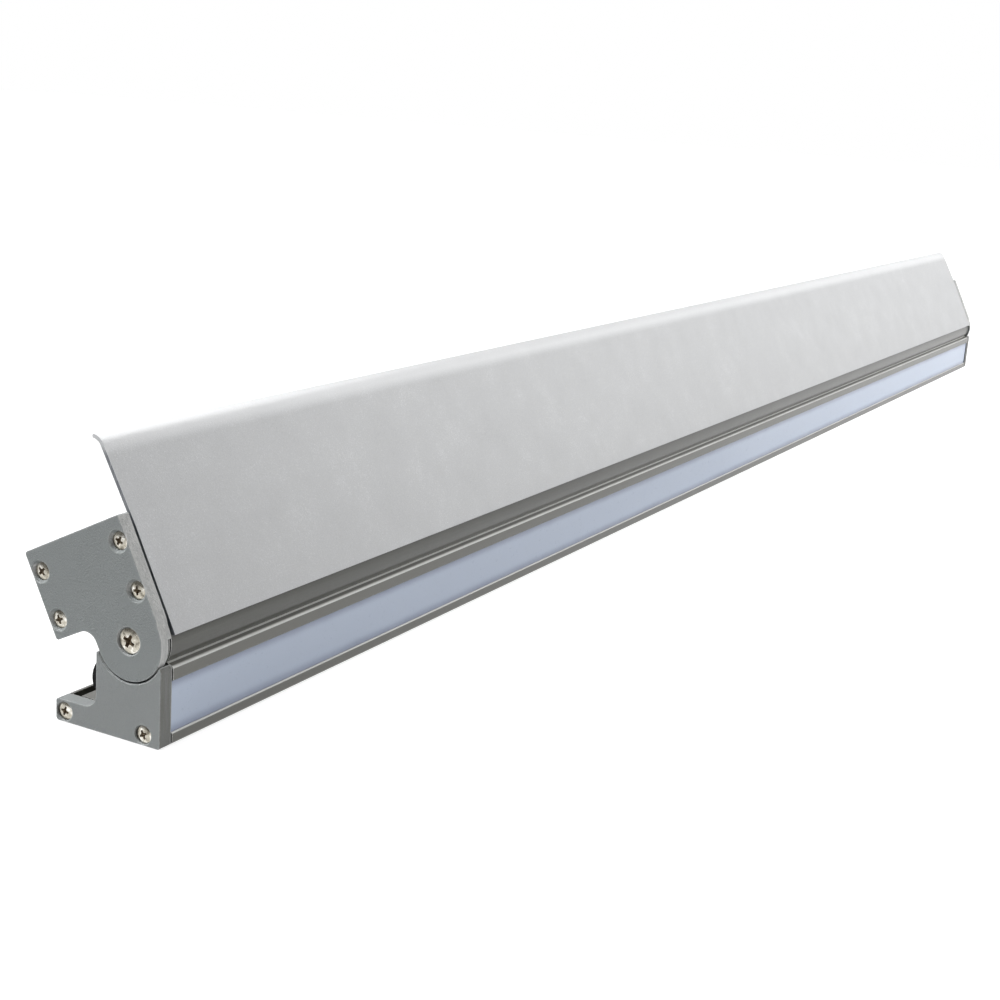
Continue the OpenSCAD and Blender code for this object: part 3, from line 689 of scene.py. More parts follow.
class Paintshop:
    """Builds each finish once from the shared effects."""

    def __init__(self) -> None:
        """Builds the shared effects."""
        self.grain = make_grain()
        self.streaks = make_streaks()
        self.wear_shine = make_wear_shine()
        self.blotch_sheens = make_blotch_sheens()
        self.ready: dict[str, bpy.types.Material] = {}

    def mix(self, finish: Finish) -> bpy.types.Material:
        """The material of a finish.

        Args:
            finish: what to build.

        Returns:
            The material, built on first use.
        """
        if finish.name not in self.ready:
            material = bpy.data.materials.new(finish.name)
            material.use_nodes = True
            Coating(self, finish, material.node_tree).build()
            self.ready[finish.name] = material
        return self.ready[finish.name]


class Coating:
    """One material in the making: each step changes its tone, height or colour; lengths are in metres."""

    BAND_EDGE = 0.004
    # painted shade past the band
    BAND_TONE = -0.35
    FACING = (0.45, 0.85)
    BRUSH_SCALE = 1500.0
    BRUSH_TONES = (0.35, 0.65, 0.6, 1.2)
    # fade and core of the painted highlight lines
    HIGHLIGHT_FADE = 0.0003
    HIGHLIGHT_CORE = 0.3
    # breakup of the pale edges, partly worn and partly painted highlight
    WEAR_SHINE_BREAKUP = 0.35
    ROUGH_TONES = (0.3, 0.8)
    ROUGH_SPREAD = 0.06
    BUMP_STRENGTH = 0.6
    SCATTER = (0.004, 0.004, 0.004)
    SCATTER_SCALE = 0.3

    def __init__(self, shop: Paintshop, finish: Finish, tree: bpy.types.NodeTree) -> None:
        """Starts with the tone and the height that the grain and the slow tone give.

        Args:
            shop: holder of the shared effects.
            finish: the finish to build.
            tree: nodes of the material.
        """
        self.shop, self.finish, self.n = shop, finish, Nodes(tree)
        self.shader = tree.nodes["Principled BSDF"]
        self.where = self.n.add("TexCoord").outputs["Object"]
        half = finish.blotch_sheen / 2
        grain = self.place(shop.grain, {"Scale": finish.grain, "Specks and sparkle": finish.specks_and_sparkle})
        slow = self.place(shop.blotch_sheens, {"Scale": finish.blotch_sheen_scale, "Low": 0.5 - half,
                                          "High": 0.5 + half})
        self.grain = grain.outputs["Tone"]
        self.tone = self.n.math("ADD", self.n.around_half(self.grain, finish.grain_tone),
                                slow.outputs["Tone"])
        self.height = self.n.math("MULTIPLY", grain.outputs["Height"], finish.grain_depth)
        self.colour: Socket | None = None

    def place(self, effect: Effect, values: dict) -> bpy.types.Node:
        """Puts a shared effect on the object with its values."""
        return self.n.add("Group", {"Position": self.where} | values, node_tree=effect.group)

    def draw_lines(self) -> None:
        """Adds the drawn lines to the tone and the height."""
        n = self.n
        lines = self.place(self.shop.streaks, {"Stretch": self.finish.lie.value})
        self.tone = n.math("ADD", self.tone, n.around_half(lines.outputs["Tone"], self.finish.line_tone))
        relief = n.math("MULTIPLY", lines.outputs["Height"], self.finish.line_depth)
        self.height = n.math("ADD", self.height, relief)

    def shade_band(self) -> None:
        """Paints shade below and above the band of heights that the finish names by lowering the tone."""
        n = self.n
        level = n.add("SeparateXYZ", {0: self.where}).outputs[2]
        bottom, top = self.finish.band
        low = n.ramp(level, bottom, bottom + self.BAND_EDGE)
        high = n.ramp(level, top - self.BAND_EDGE, top, 1.0, 0.0)
        past = n.math("SUBTRACT", 1.0, n.math("MULTIPLY", low, high))
        self.tone = n.math("ADD", self.tone, n.math("MULTIPLY", past, self.BAND_TONE))

    def tint(self) -> None:
        """Takes the colour from the tone, between the dark and the light one."""
        n, finish = self.n, self.finish
        tone = n.math("ADD", self.tone, 0.0, clamp=True)
        colour = n.mix(n.ramp(tone, 0.0, 0.5), linear(finish.dark), linear(finish.colour))
        self.colour = n.mix(n.ramp(tone, 0.5, 1.0), colour, linear(finish.light))

    def brush_facing_light_and_shade(self) -> None:
        """Brushes the second colour over the faces that take it: painted light if paler, painted shade if
        darker.
        """
        n, finish = self.n, self.finish
        parts = n.add("SeparateXYZ", {0: n.add("TexCoord").outputs["Normal"]}).outputs
        if finish.facing is Facing.FRONT:
            ahead = n.math("MULTIPLY", parts[1], -1.0)
        else:
            ahead = n.math("ABSOLUTE", parts[0])
        share = n.ramp(ahead, *self.FACING, 0.0, finish.second_share)
        brushed = self.place(self.shop.streaks, {"Stretch": Lie.UPRIGHT.value, "Scale": self.BRUSH_SCALE})
        share = n.math("MULTIPLY", share, n.ramp(brushed.outputs["Tone"], *self.BRUSH_TONES), clamp=True)
        self.colour = n.mix(share, self.colour, linear(finish.second))

    def paint_highlights(self) -> None:
        """Paints highlights, bright lines where the drawn edges catch the light, at the heights that the
        finish names.
        """
        n, finish = self.n, self.finish
        spot = n.add("SeparateXYZ", {0: self.where}).outputs
        front = finish.highlight_front
        shine = n.ramp(spot[1], front, front + self.HIGHLIGHT_FADE, finish.highlight_share, 0.0)
        for middle, half in finish.painted_highlights:
            off = n.math("ABSOLUTE", n.math("SUBTRACT", spot[2], middle))
            mask = n.math("MULTIPLY", shine, n.ramp(off, half * self.HIGHLIGHT_CORE, half, 1.0, 0.0))
            self.colour = n.mix(mask, self.colour, linear(finish.light))

    def shine_worn_edges(self) -> None:
        """Makes the edges pale: partly worn and partly painted highlight where they catch the light."""
        n, finish = self.n, self.finish
        worn_shine = self.place(self.shop.wear_shine, {"Radius": finish.wear_shine_radius, "Breakup": self.WEAR_SHINE_BREAKUP})
        mask = n.math("MULTIPLY", worn_shine.outputs["Mask"], finish.wear_shine, clamp=True)
        self.colour = n.mix(mask, self.colour, linear(finish.light))

    def build(self) -> None:
        """Takes the steps that the finish asks for and sets the shader."""
        n, finish = self.n, self.finish
        steps = ((finish.lie is not Lie.NONE, self.draw_lines), (finish.band is not None, self.shade_band),
                 (True, self.tint), (finish.second is not None, self.brush_facing_light_and_shade),
                 (bool(finish.painted_highlights), self.paint_highlights), (finish.wear_shine > 0, self.shine_worn_edges))
        for asked, step in steps:
            if asked:
                step()
        rough = n.ramp(self.grain, *self.ROUGH_TONES, finish.roughness + self.ROUGH_SPREAD,
                       finish.roughness - self.ROUGH_SPREAD)
        bump = n.add("Bump", {"Height": self.height, "Strength": self.BUMP_STRENGTH, "Distance": MM})
        values = {"Base Color": self.colour, "Roughness": rough, "Normal": bump.outputs[0],
                  "Metallic": finish.metallic, "Coat Weight": finish.coat,
                  "Specular IOR Level": finish.specular}
        if finish.subsurface > 0:
            values |= {"Subsurface Weight": finish.subsurface, "Subsurface Radius": self.SCATTER,
                       "Subsurface Scale": self.SCATTER_SCALE}
        n.fill_all(self.shader, values)


# Painted shade above the band darkens the barrel under the visor; the painted highlights are bright lines
# along the lip edges and the slope; the pale edges are partly worn and partly painted highlight.
PROFILE = Finish("drawn grey aluminium", (92, 92, 86), (62, 62, 57), (236, 236, 233), 0.36, 0.4,
                 grain=2200, grain_tone=0.2, grain_depth=0.012, specks_and_sparkle=0.0, lie=Lie.ALONG, line_tone=0.25,
                 line_depth=0.03, wear_shine=0.9, wear_shine_radius=0.0005, blotch_sheen=0.06, coat=0.3, band=(-0.01, 0.0285),
                 painted_highlights=((0.0241, 0.0005), (0.02515, 0.0002), (0.0037, 0.0005)), highlight_share=0.65,
                 highlight_front=-0.0168)
# The paler second colour on the front faces is painted light, with brushed lines in it.
CAST = Finish("cast cap paint", (140, 145, 145), (120, 125, 125), (226, 227, 227), 0.5, 0.15, grain=1500,
              grain_tone=0.25, grain_depth=0.9, specks_and_sparkle=0.0, wear_shine=0.7, wear_shine_radius=0.0008,
              second=(208, 208, 206), second_share=0.9, blotch_sheen=0.05)
# The darker second colour on the front faces is painted shade.
LAMP_CAST = Finish("cast lamp cap paint", (144, 148, 148), (124, 128, 128), (214, 216, 215), 0.5, 0.15,
                   grain=1500, grain_tone=0.25, grain_depth=0.9, specks_and_sparkle=0.0, wear_shine=0.7, wear_shine_radius=0.0008,
                   second=(104, 103, 97), second_share=0.8, blotch_sheen=0.05)
# The darker second colour on the end faces is painted shade; the highlight line is a painted band along the
# crest of the curl; the grain's bright flecks are painted sparkle; the pale edges are partly painted
# highlight.
VISOR = Finish("satin visor aluminium", (195, 196, 197), (166, 167, 169), (240, 241, 242), 0.42, 0.3,
               grain=1500, grain_tone=0.7, grain_depth=0.12, specks_and_sparkle=0.5, lie=Lie.ALONG, line_tone=0.08,
               line_depth=0.004, wear_shine=0.5, wear_shine_radius=0.0003, blotch_sheen=0.16, second=(104, 107, 114),
               second_share=0.9, facing=Facing.ENDS, painted_highlights=((0.0885, 0.0055),), highlight_share=0.6)
UPPER = Finish("satin housing aluminium", (178, 180, 181), (160, 162, 164), (222, 223, 224), 0.42, 0.35,
               grain=2400, grain_tone=0.35, grain_depth=0.04, specks_and_sparkle=0.2, lie=Lie.ALONG, line_tone=0.2,
               line_depth=0.03, wear_shine=0.6, wear_shine_radius=0.0004, blotch_sheen=0.08)
# The slow tone at this small scale is painted reflection on each head; the pale edges are partly painted
# highlight.
STEEL = Finish("warm nickel steel", (180, 175, 162), (104, 99, 88), (244, 242, 235), 0.2, 0.95, grain=2600,
               grain_tone=0.2, grain_depth=0.02, wear_shine=0.8, wear_shine_radius=0.0003, blotch_sheen=1.0, blotch_sheen_scale=420.0)
# The recess colour is painted shade: darker and browner than the head, inside the cross recess.
RECESS_SHADE = Finish("cross recess painted shade", (132, 118, 98), (76, 66, 54), (190, 182, 166), 0.36, 0.5, grain=2600,
                grain_tone=0.5, grain_depth=0.02, blotch_sheen=0.6)
NYLON = Finish("black nylon", (24, 24, 26), (14, 14, 16), (48, 48, 52), 0.62, specular=0.2, grain=2600,
               grain_tone=0.5, grain_depth=0.05, wear_shine=0.4, wear_shine_radius=0.0003)
RUBBER = Finish("black rubber", (34, 34, 35), (22, 22, 23), (60, 60, 60), 0.8, grain=1800, grain_tone=0.5,
                grain_depth=0.06)
# Painted shade above and below the band darkens the cover along its edges under the lips.
OPAL = Finish("opal cover", (195, 207, 226), (144, 154, 180), (222, 230, 240), 0.3, grain=900,
              grain_tone=0.06, grain_depth=0.004, specks_and_sparkle=0.0, blotch_sheen=0.06, coat=0.05, subsurface=0.25,
              band=(0.0039, 0.0199))
SEAL = Finish("pale seal rubber", (196, 196, 194), (170, 170, 168), (220, 220, 218), 0.75, grain=1800,
              grain_depth=0.04)
BOARD = Finish("white board lacquer", (240, 240, 235), (222, 222, 216), (250, 250, 248), 0.35, grain=2200,
               grain_depth=0.01, coat=0.3)
GREEN = Finish("green board lacquer", (42, 98, 58), (26, 70, 40), (76, 138, 88), 0.35, grain=2200,
               grain_depth=0.01, coat=0.3)
CHIP = Finish("yellow phosphor", (236, 206, 92), (214, 178, 60), (248, 228, 150), 0.4, grain=4000,
              grain_depth=0.01)
PAD = Finish("blue grey heat pad", (152, 172, 192), (130, 150, 170), (180, 196, 210), 0.8, grain=1600,
             grain_depth=0.06)
WHITE_PLASTIC = Finish("white terminal plastic", (240, 240, 238), (220, 220, 216), (250, 250, 250), 0.45,
                       grain=2600, grain_depth=0.02)
DARK_PLASTIC = Finish("dark washer plastic", (52, 52, 54), (36, 36, 38), (84, 84, 86), 0.5, grain=2400,
                      grain_depth=0.03)
CASE = Finish("pale case aluminium", (212, 212, 208), (188, 188, 184), (236, 236, 234), 0.4, 0.5, grain=2200,
              grain_depth=0.02, lie=Lie.ALONG, line_tone=0.3, line_depth=0.02, wear_shine=0.4)
CORE = Finish("amber core lacquer", (198, 160, 52), (160, 120, 34), (226, 196, 110), 0.4, grain=1800,
              grain_depth=0.05, coat=0.2)

CARRIED: dict[str, tuple[Finish, str]] = {
    "lamp_gasket": (RUBBER, "gasket_rubber"), "driver_gasket": (RUBBER, "gasket_rubber"),
    "diffuser_seals": (SEAL, "seal_rubber"), "led_board": (BOARD, "board_white"),
    "led_chips": (CHIP, "chip_yellow"), "board_screws": (STEEL, "screw_steel"),
    "thermal_pads": (PAD, "pad_rubber"), "board_terminal": (WHITE_PLASTIC, "terminal_plastic"),
    "board_link": (WHITE_PLASTIC, "terminal_plastic"), "pivot_washer": (DARK_PLASTIC, "washer_plastic"),
    "driver_case": (CASE, "case_aluminium"), "driver_covers": (DARK_PLASTIC, "parts_plastic"),
    "driver_board": (GREEN, "board_green"), "driver_parts": (CORE, "parts_plastic"),
    "driver_screws": (STEEL, "screw_steel"), "lamp_gland_locknut": (NYLON, "gland_plastic"),
    "link_gland_locknut": (NYLON, "gland_plastic"), "supply_gland_locknut": (NYLON, "gland_plastic"),
}


@dataclass
class Assembly:
    """What every sub-assembly needs: the finishes, the body that it rides on, and its frame."""

    paint: Paintshop
    body: Body
    frame: Frame
    tilt: float = 27.0
    pivot_y: float = 12.2
    pivot_h: float = 31.0
    base_d: float = 40.0
    face_x: float = 500.0
    profile_x: float = 494.35

    def home(self) -> Matrix:
        """The matrix from this assembly's drawing frame to the model, in metres.

        Returns:
            The matrix.
        """
        if self.frame is Frame.SECTION:
            move = Matrix.Translation((0, -self.base_d / 2, 0))
        else:
            pivot = Matrix.Translation((0, self.pivot_y - self.base_d / 2, self.pivot_h))
            move = pivot @ Matrix.Rotation(math.radians(-self.tilt), 4, "X")
        return Matrix.Diagonal((MM, MM, MM, 1)) @ move

    def deliver(self, piece: Piece, finish: Finish, slot: str, nodes: list[str],
                smooth: float = 32.0) -> Piece:
        """Puts a finished piece in its place, dresses it and ties it to the frame.

        Args:
            piece: the piece in this assembly's frame, in millimetres.
            finish: its finish.
            slot: not used.
            nodes: the frame nodes that it stands for.
            smooth: edges flatter than this angle are shaded smooth.

        Returns:
            The piece.
        """
        Bench.moved(piece, self.home())
        bpy.ops.object.shade_smooth_by_angle(angle=math.radians(smooth))
        step = piece.modifiers.new("weighted", "WEIGHTED_NORMAL")
        step.keep_sharp = True
        bpy.ops.object.modifier_apply(modifier=step.name)
        material = self.paint.mix(finish)
        if not piece.data.materials:
            piece.data.materials.append(material)
        elif piece.data.materials[0] is None:
            piece.data.materials[0] = material
        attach(piece, self.body.value)
        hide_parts(*nodes)
        LOG.info("%s: %d faces, stands for %s", piece.name, len(piece.data.polygons), ", ".join(nodes))
        return piece

    def deliver_pair(self, cap: Piece, finish: Finish, name: str, node: str) -> None:
        """Mirrors a left end cap for the right end and puts both in place.

        Args:
            cap: the left cap.
            finish: the finish of both.
            name: name of the right cap.
            node: the frame nodes that they stand for, without their side.
        """
        twin = Bench.mirrored(cap, name)
        for piece, side in ((cap, Side.LEFT), (twin, Side.RIGHT)):
            self.deliver(piece, finish, "cap_paint", [f"{node}_{side.value}"])


@dataclass
class LampPart(Assembly):
    """The sizes that the lamp profile and its caps share."""

    body_d: float = 24.4
    foot_h: float = 7.0
    front_h: float = 24.1
    rear_h: float = 25.2
    corner_r: float = 0.9
    barrel_r: float = 11.3


@dataclass
class HeadPart(Assembly):
    """The sizes that the pieces of the tilting head share, from the pivot and square to the visor."""

    box_u: float = 27.25
    box_v: Point = (7.35, 35.5)
    bend_v: float = 31.0
    rails: Point = (17.95, 23.35)
    screw_u: Point = (-9.4, 23.85)
    screw_v: Point = (13.0, 28.3)

    def screw_places(self) -> list[Point]:
        """The places of the four cap screws."""
        return [(a, b) for a in self.screw_u for b in self.screw_v]


@dataclass
class Profiles(LampPart):
    """The lamp profile with its barrel, and the opal cover in its window."""

    barrel_wall: float = 1.8
    boss_r: float = 4.0
    spoke_t: float = 1.6
    window: Point = (3.8, 20.0)
    flange: Point = (2.6, 21.4)
    lip_t: float = 1.6
    ceiling_h: float = 19.385
    groove: Point = (36.65, 3.3)
    groove_w: float = 3.2
    gland_x: float = -487.5
    gland_h: float = 13.5
    gland_y: Point = (19.0, 27.0)
    gland_hole_r: float = 4.0
    edge_r: float = 0.22
    foot_fillet_r: float = 0.8
    lip_r: Point = (0.45, 0.5)
    floor_h: float = 2.1
    stop_y: float = 4.1
    step_y: float = 5.6
    chamber_y: float = 14.6
    barrel_y: float = 21.898
    barrel_arc: Point = (-30.2, 210.3)
    wiring: tuple[Point, Point] = ((17.0, 22.3), (2.1, 20.385))
    foot: tuple[Point, Point] = ((26.1, 33.35), (2.1, 4.7))
    axis_r: float = 2.05
    cover_x: float = 494.25
    cover_y: tuple[float, float, float] = (0.6, 1.7, 3.1)
    cover_z: tuple[float, float, float, float] = (2.6, 3.82, 19.9, 21.2)
    cover_r: Point = (0.05, 0.25)

    def outline(self) -> list[Point]:
        """The section, entered through the window.

        Returns:
            Its points in order.
        """
        edge, corner = self.edge_r, self.corner_r
        gy, gz = self.groove
        half = self.groove_w / 2
        foot = [(0, 0, corner), (self.base_d, 0, corner), (self.base_d, self.foot_h, corner),
                (gy + half, self.foot_h, edge)]
        foot += sharp(arc((gy, gz), half, 0, -180, 15))
        foot += [(gy - half, self.foot_h, edge), (self.body_d, self.foot_h, self.foot_fillet_r),
                 (self.body_d, self.rear_h, edge), (self.barrel_y, self.rear_h, 0)]
        barrel = sharp(arc((self.pivot_y, self.pivot_h), self.barrel_r, *self.barrel_arc, 4))
        low, high = self.window
        under, over = self.flange
        upper_lip = [(0, self.front_h, self.lip_r[1]), (0, high, edge)]
        lower_lip = [(0, low, self.lip_r[0])]
        inner = sharp([(self.lip_t, high), (self.lip_t, over), (self.stop_y, over),
                       (self.stop_y, self.ceiling_h), (self.chamber_y, self.ceiling_h),
                       (self.chamber_y, self.floor_h), (self.step_y, self.floor_h), (self.step_y, low),
                       (self.stop_y, low), (self.stop_y, under), (self.lip_t, under), (self.lip_t, low)])
        return rounded(foot + barrel + upper_lip + inner + lower_lip, 30)

    def hollows(self) -> list[Piece]:
        """Cutters for the wiring space, the foot, the barrel and the screw holes.

        Returns:
            The cutters.
        """
        reach = self.profile_x + 1
        middle = (self.pivot_y, self.pivot_h)
        cutters = []
        for name, (across, up) in (("wiring", self.wiring), ("foot", self.foot)):
            cutters.append(Bench.block(name, Vector((-reach, across[0], up[0])),
                                       Vector((reach, across[1], up[1]))))
        cutters.append(Bench.rod("axis", -reach, reach, middle, self.axis_r, sides=32))
        outer = self.barrel_r - self.barrel_wall
        for spoke in (90, 210, 330):
            far = math.degrees(math.asin(self.spoke_t / 2 / outer))
            near = math.degrees(math.asin(self.spoke_t / 2 / self.boss_r))
            sector = arc(middle, outer, spoke + far, spoke + 120 - far)
            sector += arc(middle, self.boss_r, spoke + 120 - near, spoke + near)
            cutters.append(Bench.bar("sector", sector, -reach, reach))
        hole = Bench.rod("gland hole", -self.gland_y[1], -self.gland_y[0], (0, 0), self.gland_hole_r)
        cutters.append(Bench.moved(hole, facing_rear(self.gland_x, self.gland_h)))
        return cutters

    def build(self) -> None:
        """Models the profile and the cover."""
        profile = Bench.bar("lamp_profile", self.outline(), -self.profile_x, self.profile_x)
        Bench.combine(profile, self.hollows())
        self.deliver(profile, PROFILE, "lamp_aluminium", ["lamp_housing"])
        front, step, back = self.cover_y
        under, low, high, over = self.cover_z
        cover = [(front, low, self.cover_r[0]), (step, low, 0), (step, under, 0), (back, under, 0),
                 (back, over, 0), (step, over, 0), (step, high, 0), (front, high, self.cover_r[1])]
        lens = Bench.bar("opal_cover", rounded(cover, 30), -self.cover_x, self.cover_x)
        self.deliver(lens, OPAL, "opal_diffuser", ["diffuser"])


@dataclass
class LampCaps(LampPart):
    """The two end caps of the lamp profile, with the hollow that the lobe turns in."""

    cap_t: float = 5.05
    fillet_r: float = 4.5
    cradle_r: float = 12.8
    cover_x: float = 496.4
    screws: tuple[Point, Point] = ((36.65, 3.3), (6.3, 3.3))
    sink: float = 0.6
    horn: Point = (2.928, 27.986)
    face_r: float = 0.55
    bridge_half: float = 7.91
    axis_r: float = 2.1
    seat_r: float = 2.9
    shank_r: float = 1.7

    def build(self) -> None:
        """Models the left cap and mirrors it for the right end."""
        x0, x1 = -self.face_x, -self.face_x + self.cap_t
        corner, deep, high = self.corner_r, self.base_d, self.foot_h
        outline = [(0, 0, corner), (deep, 0, corner), (deep, high, corner),
                   (self.body_d, high, self.fillet_r), (self.body_d, self.rear_h, 0.3),
                   (self.pivot_y, self.rear_h, 0), (*self.horn, 0.2), (0, self.front_h, corner)]
        cap = Bench.bar("lamp_cap_left", rounded(outline, 12), x0, x1)
        Bench.soften_face(cap, x0, self.face_r)
        axis = (self.pivot_y, self.pivot_h)
        Bench.combine(cap, [Bench.rod("cradle", x0 - 1, x1 + 1, axis, self.cradle_r, sides=128),
                            Bench.rod("cradle rim", x0 - 0.6, x0 + 0.35, axis, self.cradle_r + 0.95,
                                      self.cradle_r, sides=128)])
        disc = Bench.rod("disc", -self.cover_x, x1, axis, self.barrel_r, sides=96)
        bridge = Bench.block("bridge", Vector((-self.cover_x, axis[0] - self.bridge_half, high)),
                             Vector((x1, axis[0] + self.bridge_half, axis[1])))
        Bench.combine(cap, [Bench.combine(disc, [bridge], "UNION")], "UNION")
        holes = [Bench.rod("axis", x0 - 1, x1 + 1, axis, self.axis_r, sides=32)]
        bottom = self.sink + 0.22
        steps = [(-1, 4.2), (0.3, self.seat_r), (bottom, self.seat_r),
                 (bottom + 0.96, self.shank_r), (6, self.shank_r)]
        holes += [Bench.seat("seat", x0, at, steps) for at in self.screws]
        Bench.combine(cap, holes)
        self.deliver_pair(cap, LAMP_CAST, "lamp_cap_right", "lamp_end_cap")


@dataclass
class DriverHousing(HeadPart):
    """The upper profile: a box over the barrel, with grooves for the visor rails."""

    front_u: float = -11.6
    arc_r: float = 11.7
    wall: float = 1.8
    groove_size: Corner = (0.8, 1.7, 2.2)
    gland_x: float = 470.0
    gland_y: Point = (24.0, 28.5)
    gland_v: float = 20.65
    gland_hole_r: float = 4.0
    toe_v: float = 4.0425
    lean_u: Point = (-11.5, -11.319)
    edge_r: float = 0.22
    corner_r: float = 0.4
    boss_r: float = 2.8
    port_r: float = 1.5
    blocks: tuple[tuple[str, Point, Point], ...] = (
        ("corner", (-12, 7), (-7.9, 13)), ("rail boss", (-12, 14.75), (-7.6, 26.55)),
        ("seat rib", (-1.5, 9), (1.5, 14.0)), ("seat block", (11, 7), (17, 14.0)))

    def outline(self) -> list[Point]:
        """The outer section, with the hollow over the barrel and the rail grooves.

        Returns:
            Its points in order.
        """
        u, rear = self.front_u, self.box_u
        low, high = self.box_v
        toe, heel = (math.degrees(math.asin(v / self.arc_r)) for v in (self.toe_v, low))
        corners = [(rear, low, self.corner_r), (rear, high, self.corner_r),
                   (self.lean_u[1], high, self.edge_r), (self.lean_u[0], self.bend_v, 0),
                   (u, self.bend_v, 0)]
        for v in reversed(self.rails):
            corners += rail(u, v, *self.groove_size)
        corners += [(u, self.toe_v, 0)] + sharp(arc((0, 0), self.arc_r, 180 - toe, heel, 5))
        return rounded(corners, 30)

    def cavity(self, reach: float) -> Piece:
        """The inner space, less the bosses that stand in it.

        Args:
            reach: half its length.

        Returns:
            The cutter.
        """
        low, high = self.box_v
        space = Bench.block("space", Vector((-reach, self.front_u + self.wall, low + self.wall)),
                            Vector((reach, self.box_u - self.wall, high - self.wall)))
        past = reach + 1
        keep = [Bench.rod("saddle", -past, past, (0, 0), self.arc_r + self.wall, sides=96)]
        keep += [Bench.block(name, Vector((-past, *low)), Vector((past, *high)))
                 for name, low, high in self.blocks]
        keep += [Bench.rod("boss", -past, past, at, self.boss_r, sides=32)
                 for at in self.screw_places()]
        return Bench.combine(space, keep)

    def build(self) -> None:
        """Models the housing."""
        reach = self.profile_x + 1
        housing = Bench.bar("driver_profile", self.outline(), -self.profile_x, self.profile_x)
        cutters = [self.cavity(reach)]
        cutters += [Bench.rod("port", -reach, reach, at, self.port_r, sides=24)
                    for at in self.screw_places()]
        for x in (-self.gland_x, self.gland_x):
            hole = Bench.rod("gland hole", -self.gland_y[1], -self.gland_y[0], (0, 0), self.gland_hole_r)
            cutters.append(Bench.moved(hole, facing_rear(x, self.gland_v)))
        Bench.combine(housing, cutters)
        self.deliver(housing, UPPER, "driver_aluminium", ["driver_housing"])


@dataclass
class Visor(HeadPart):
    """The visor sheet with its two rails, slight bend, curl and bead."""

    front_u: float = -12.8
    rear_u: float = -11.6
    low_v: float = -2.8
    bend: float = 2.3
    upper_l: float = 25.4
    curl_r: float = 4.4
    curl: float = 50.0
    bead_r: float = 0.7
    lower_r: float = 0.25
    rail_size: Corner = (0.7, 1.6, 2.1)

    def outline(self) -> list[Point]:
        """The section: up the front, round the curl and bead, and down the rear with its rails.

        Returns:
            Its points in order.
        """
        thick = self.rear_u - self.front_u
        mid = (self.front_u + self.rear_u) / 2
        middle = (self.curl_r, self.upper_l)
        far = 180 - self.curl
        bead_at = arc(middle, self.curl_r, far, far + 1, 1)[0]
        upper = [(-thick / 2, 0.0)]
        upper += arc(middle, self.curl_r + thick / 2, 180, far, 5)
        upper += arc(bead_at, self.bead_r, far - 20, far - 160, 20)
        upper += arc(middle, self.curl_r - thick / 2, far, 180, 5)
        upper.append((thick / 2, 0.3))
        lean = math.radians(-self.bend)
        placed = [(mid + a * math.cos(lean) - b * math.sin(lean), self.bend_v + a * math.sin(lean)
                   + b * math.cos(lean)) for a, b in upper]
        corners = [(self.front_u, self.low_v, self.lower_r)] + sharp(placed)
        u = self.rear_u
        for v in reversed(self.rails):
            corners += rail(u, v, *self.rail_size)
        corners.append((u, self.low_v, self.lower_r))
        return rounded(corners, 30)

    def build(self) -> None:
        """Models the visor."""
        sheet = Bench.bar("visor_sheet", self.outline(), -self.profile_x, self.profile_x)
        self.deliver(sheet, VISOR, "visor_aluminium", ["visor"])


@dataclass
class DriverCaps(HeadPart):
    """The two end caps of the driver housing, each with the lobe that turns on the pivot screw."""

    cap_t: float = 4.6
    lobe_t: float = 3.0
    lobe_r: float = 12.3
    fillet_r: float = 4.5
    sink: float = 1.0
    pivot_sink: float = 0.6
    front_u: float = -12.8
    shoulder_v: Point = (0.56, 2.8)
    corner_r: tuple[float, float, float] = (0.15, 0.45, 0.9)
    face_r: float = 0.55
    pocket_r: float = 11.8
    pivot_seat_r: float = 4.2
    pivot_hole_r: float = 2.06
    shank_r: float = 1.7

    def outline(self) -> list[Point]:
        """The box, the lobe and the hollow corner beside it.

        Returns:
            Its points in order.
        """
        toe, top, rear = self.corner_r
        low, high = self.box_v
        corners = [(self.front_u, self.shoulder_v[1], toe), (self.front_u, high, top),
                   (self.box_u, high, rear), (self.box_u, low, rear), (self.lobe_r, low, self.fillet_r)]
        corners += sharp(arc((0, 0), self.lobe_r, 0, -180, 5))
        corners.append((-self.lobe_r, self.shoulder_v[0], 0))
        return rounded(corners, 12)

    def build(self) -> None:
        """Models the left cap and mirrors it for the right end."""
        x0, x1 = -self.face_x, -self.face_x + self.cap_t
        inner = -self.face_x + self.lobe_t
        cap = Bench.bar("driver_cap_left", self.outline(), x0, x1)
        Bench.soften_face(cap, x0, self.face_r)
        pivot_steps = [(-1, 5.45), (0.25, self.pivot_seat_r), (self.pivot_sink + 0.2, self.pivot_seat_r),
                       (2.45, self.pivot_hole_r), (6, self.pivot_hole_r)]
        steps = [(-0.5, 4.3), (0.0, 3.6), (0.2, 3.35), (self.sink, 2.85), (self.sink + 0.22, 2.9),
                 (2.2, self.shank_r), (6, self.shank_r)]
        cuts = [Bench.rod("pocket", inner, x1 + 1, (0, 0), self.pocket_r, sides=128),
                Bench.block("front step", Vector((inner, -30, -30)), Vector((x1 + 1, 0.5, -3.3))),
                Bench.block("rear step", Vector((inner, 0, -30)), Vector((x1 + 1, 30, 2.85))),
                Bench.seat("pivot seat", x0, (0, 0), pivot_steps)]
        cuts += [Bench.seat("seat", x0, at, steps) for at in self.screw_places()]
        Bench.combine(cap, cuts)
        self.deliver_pair(cap, CAST, "driver_cap_right", "driver_end_cap")


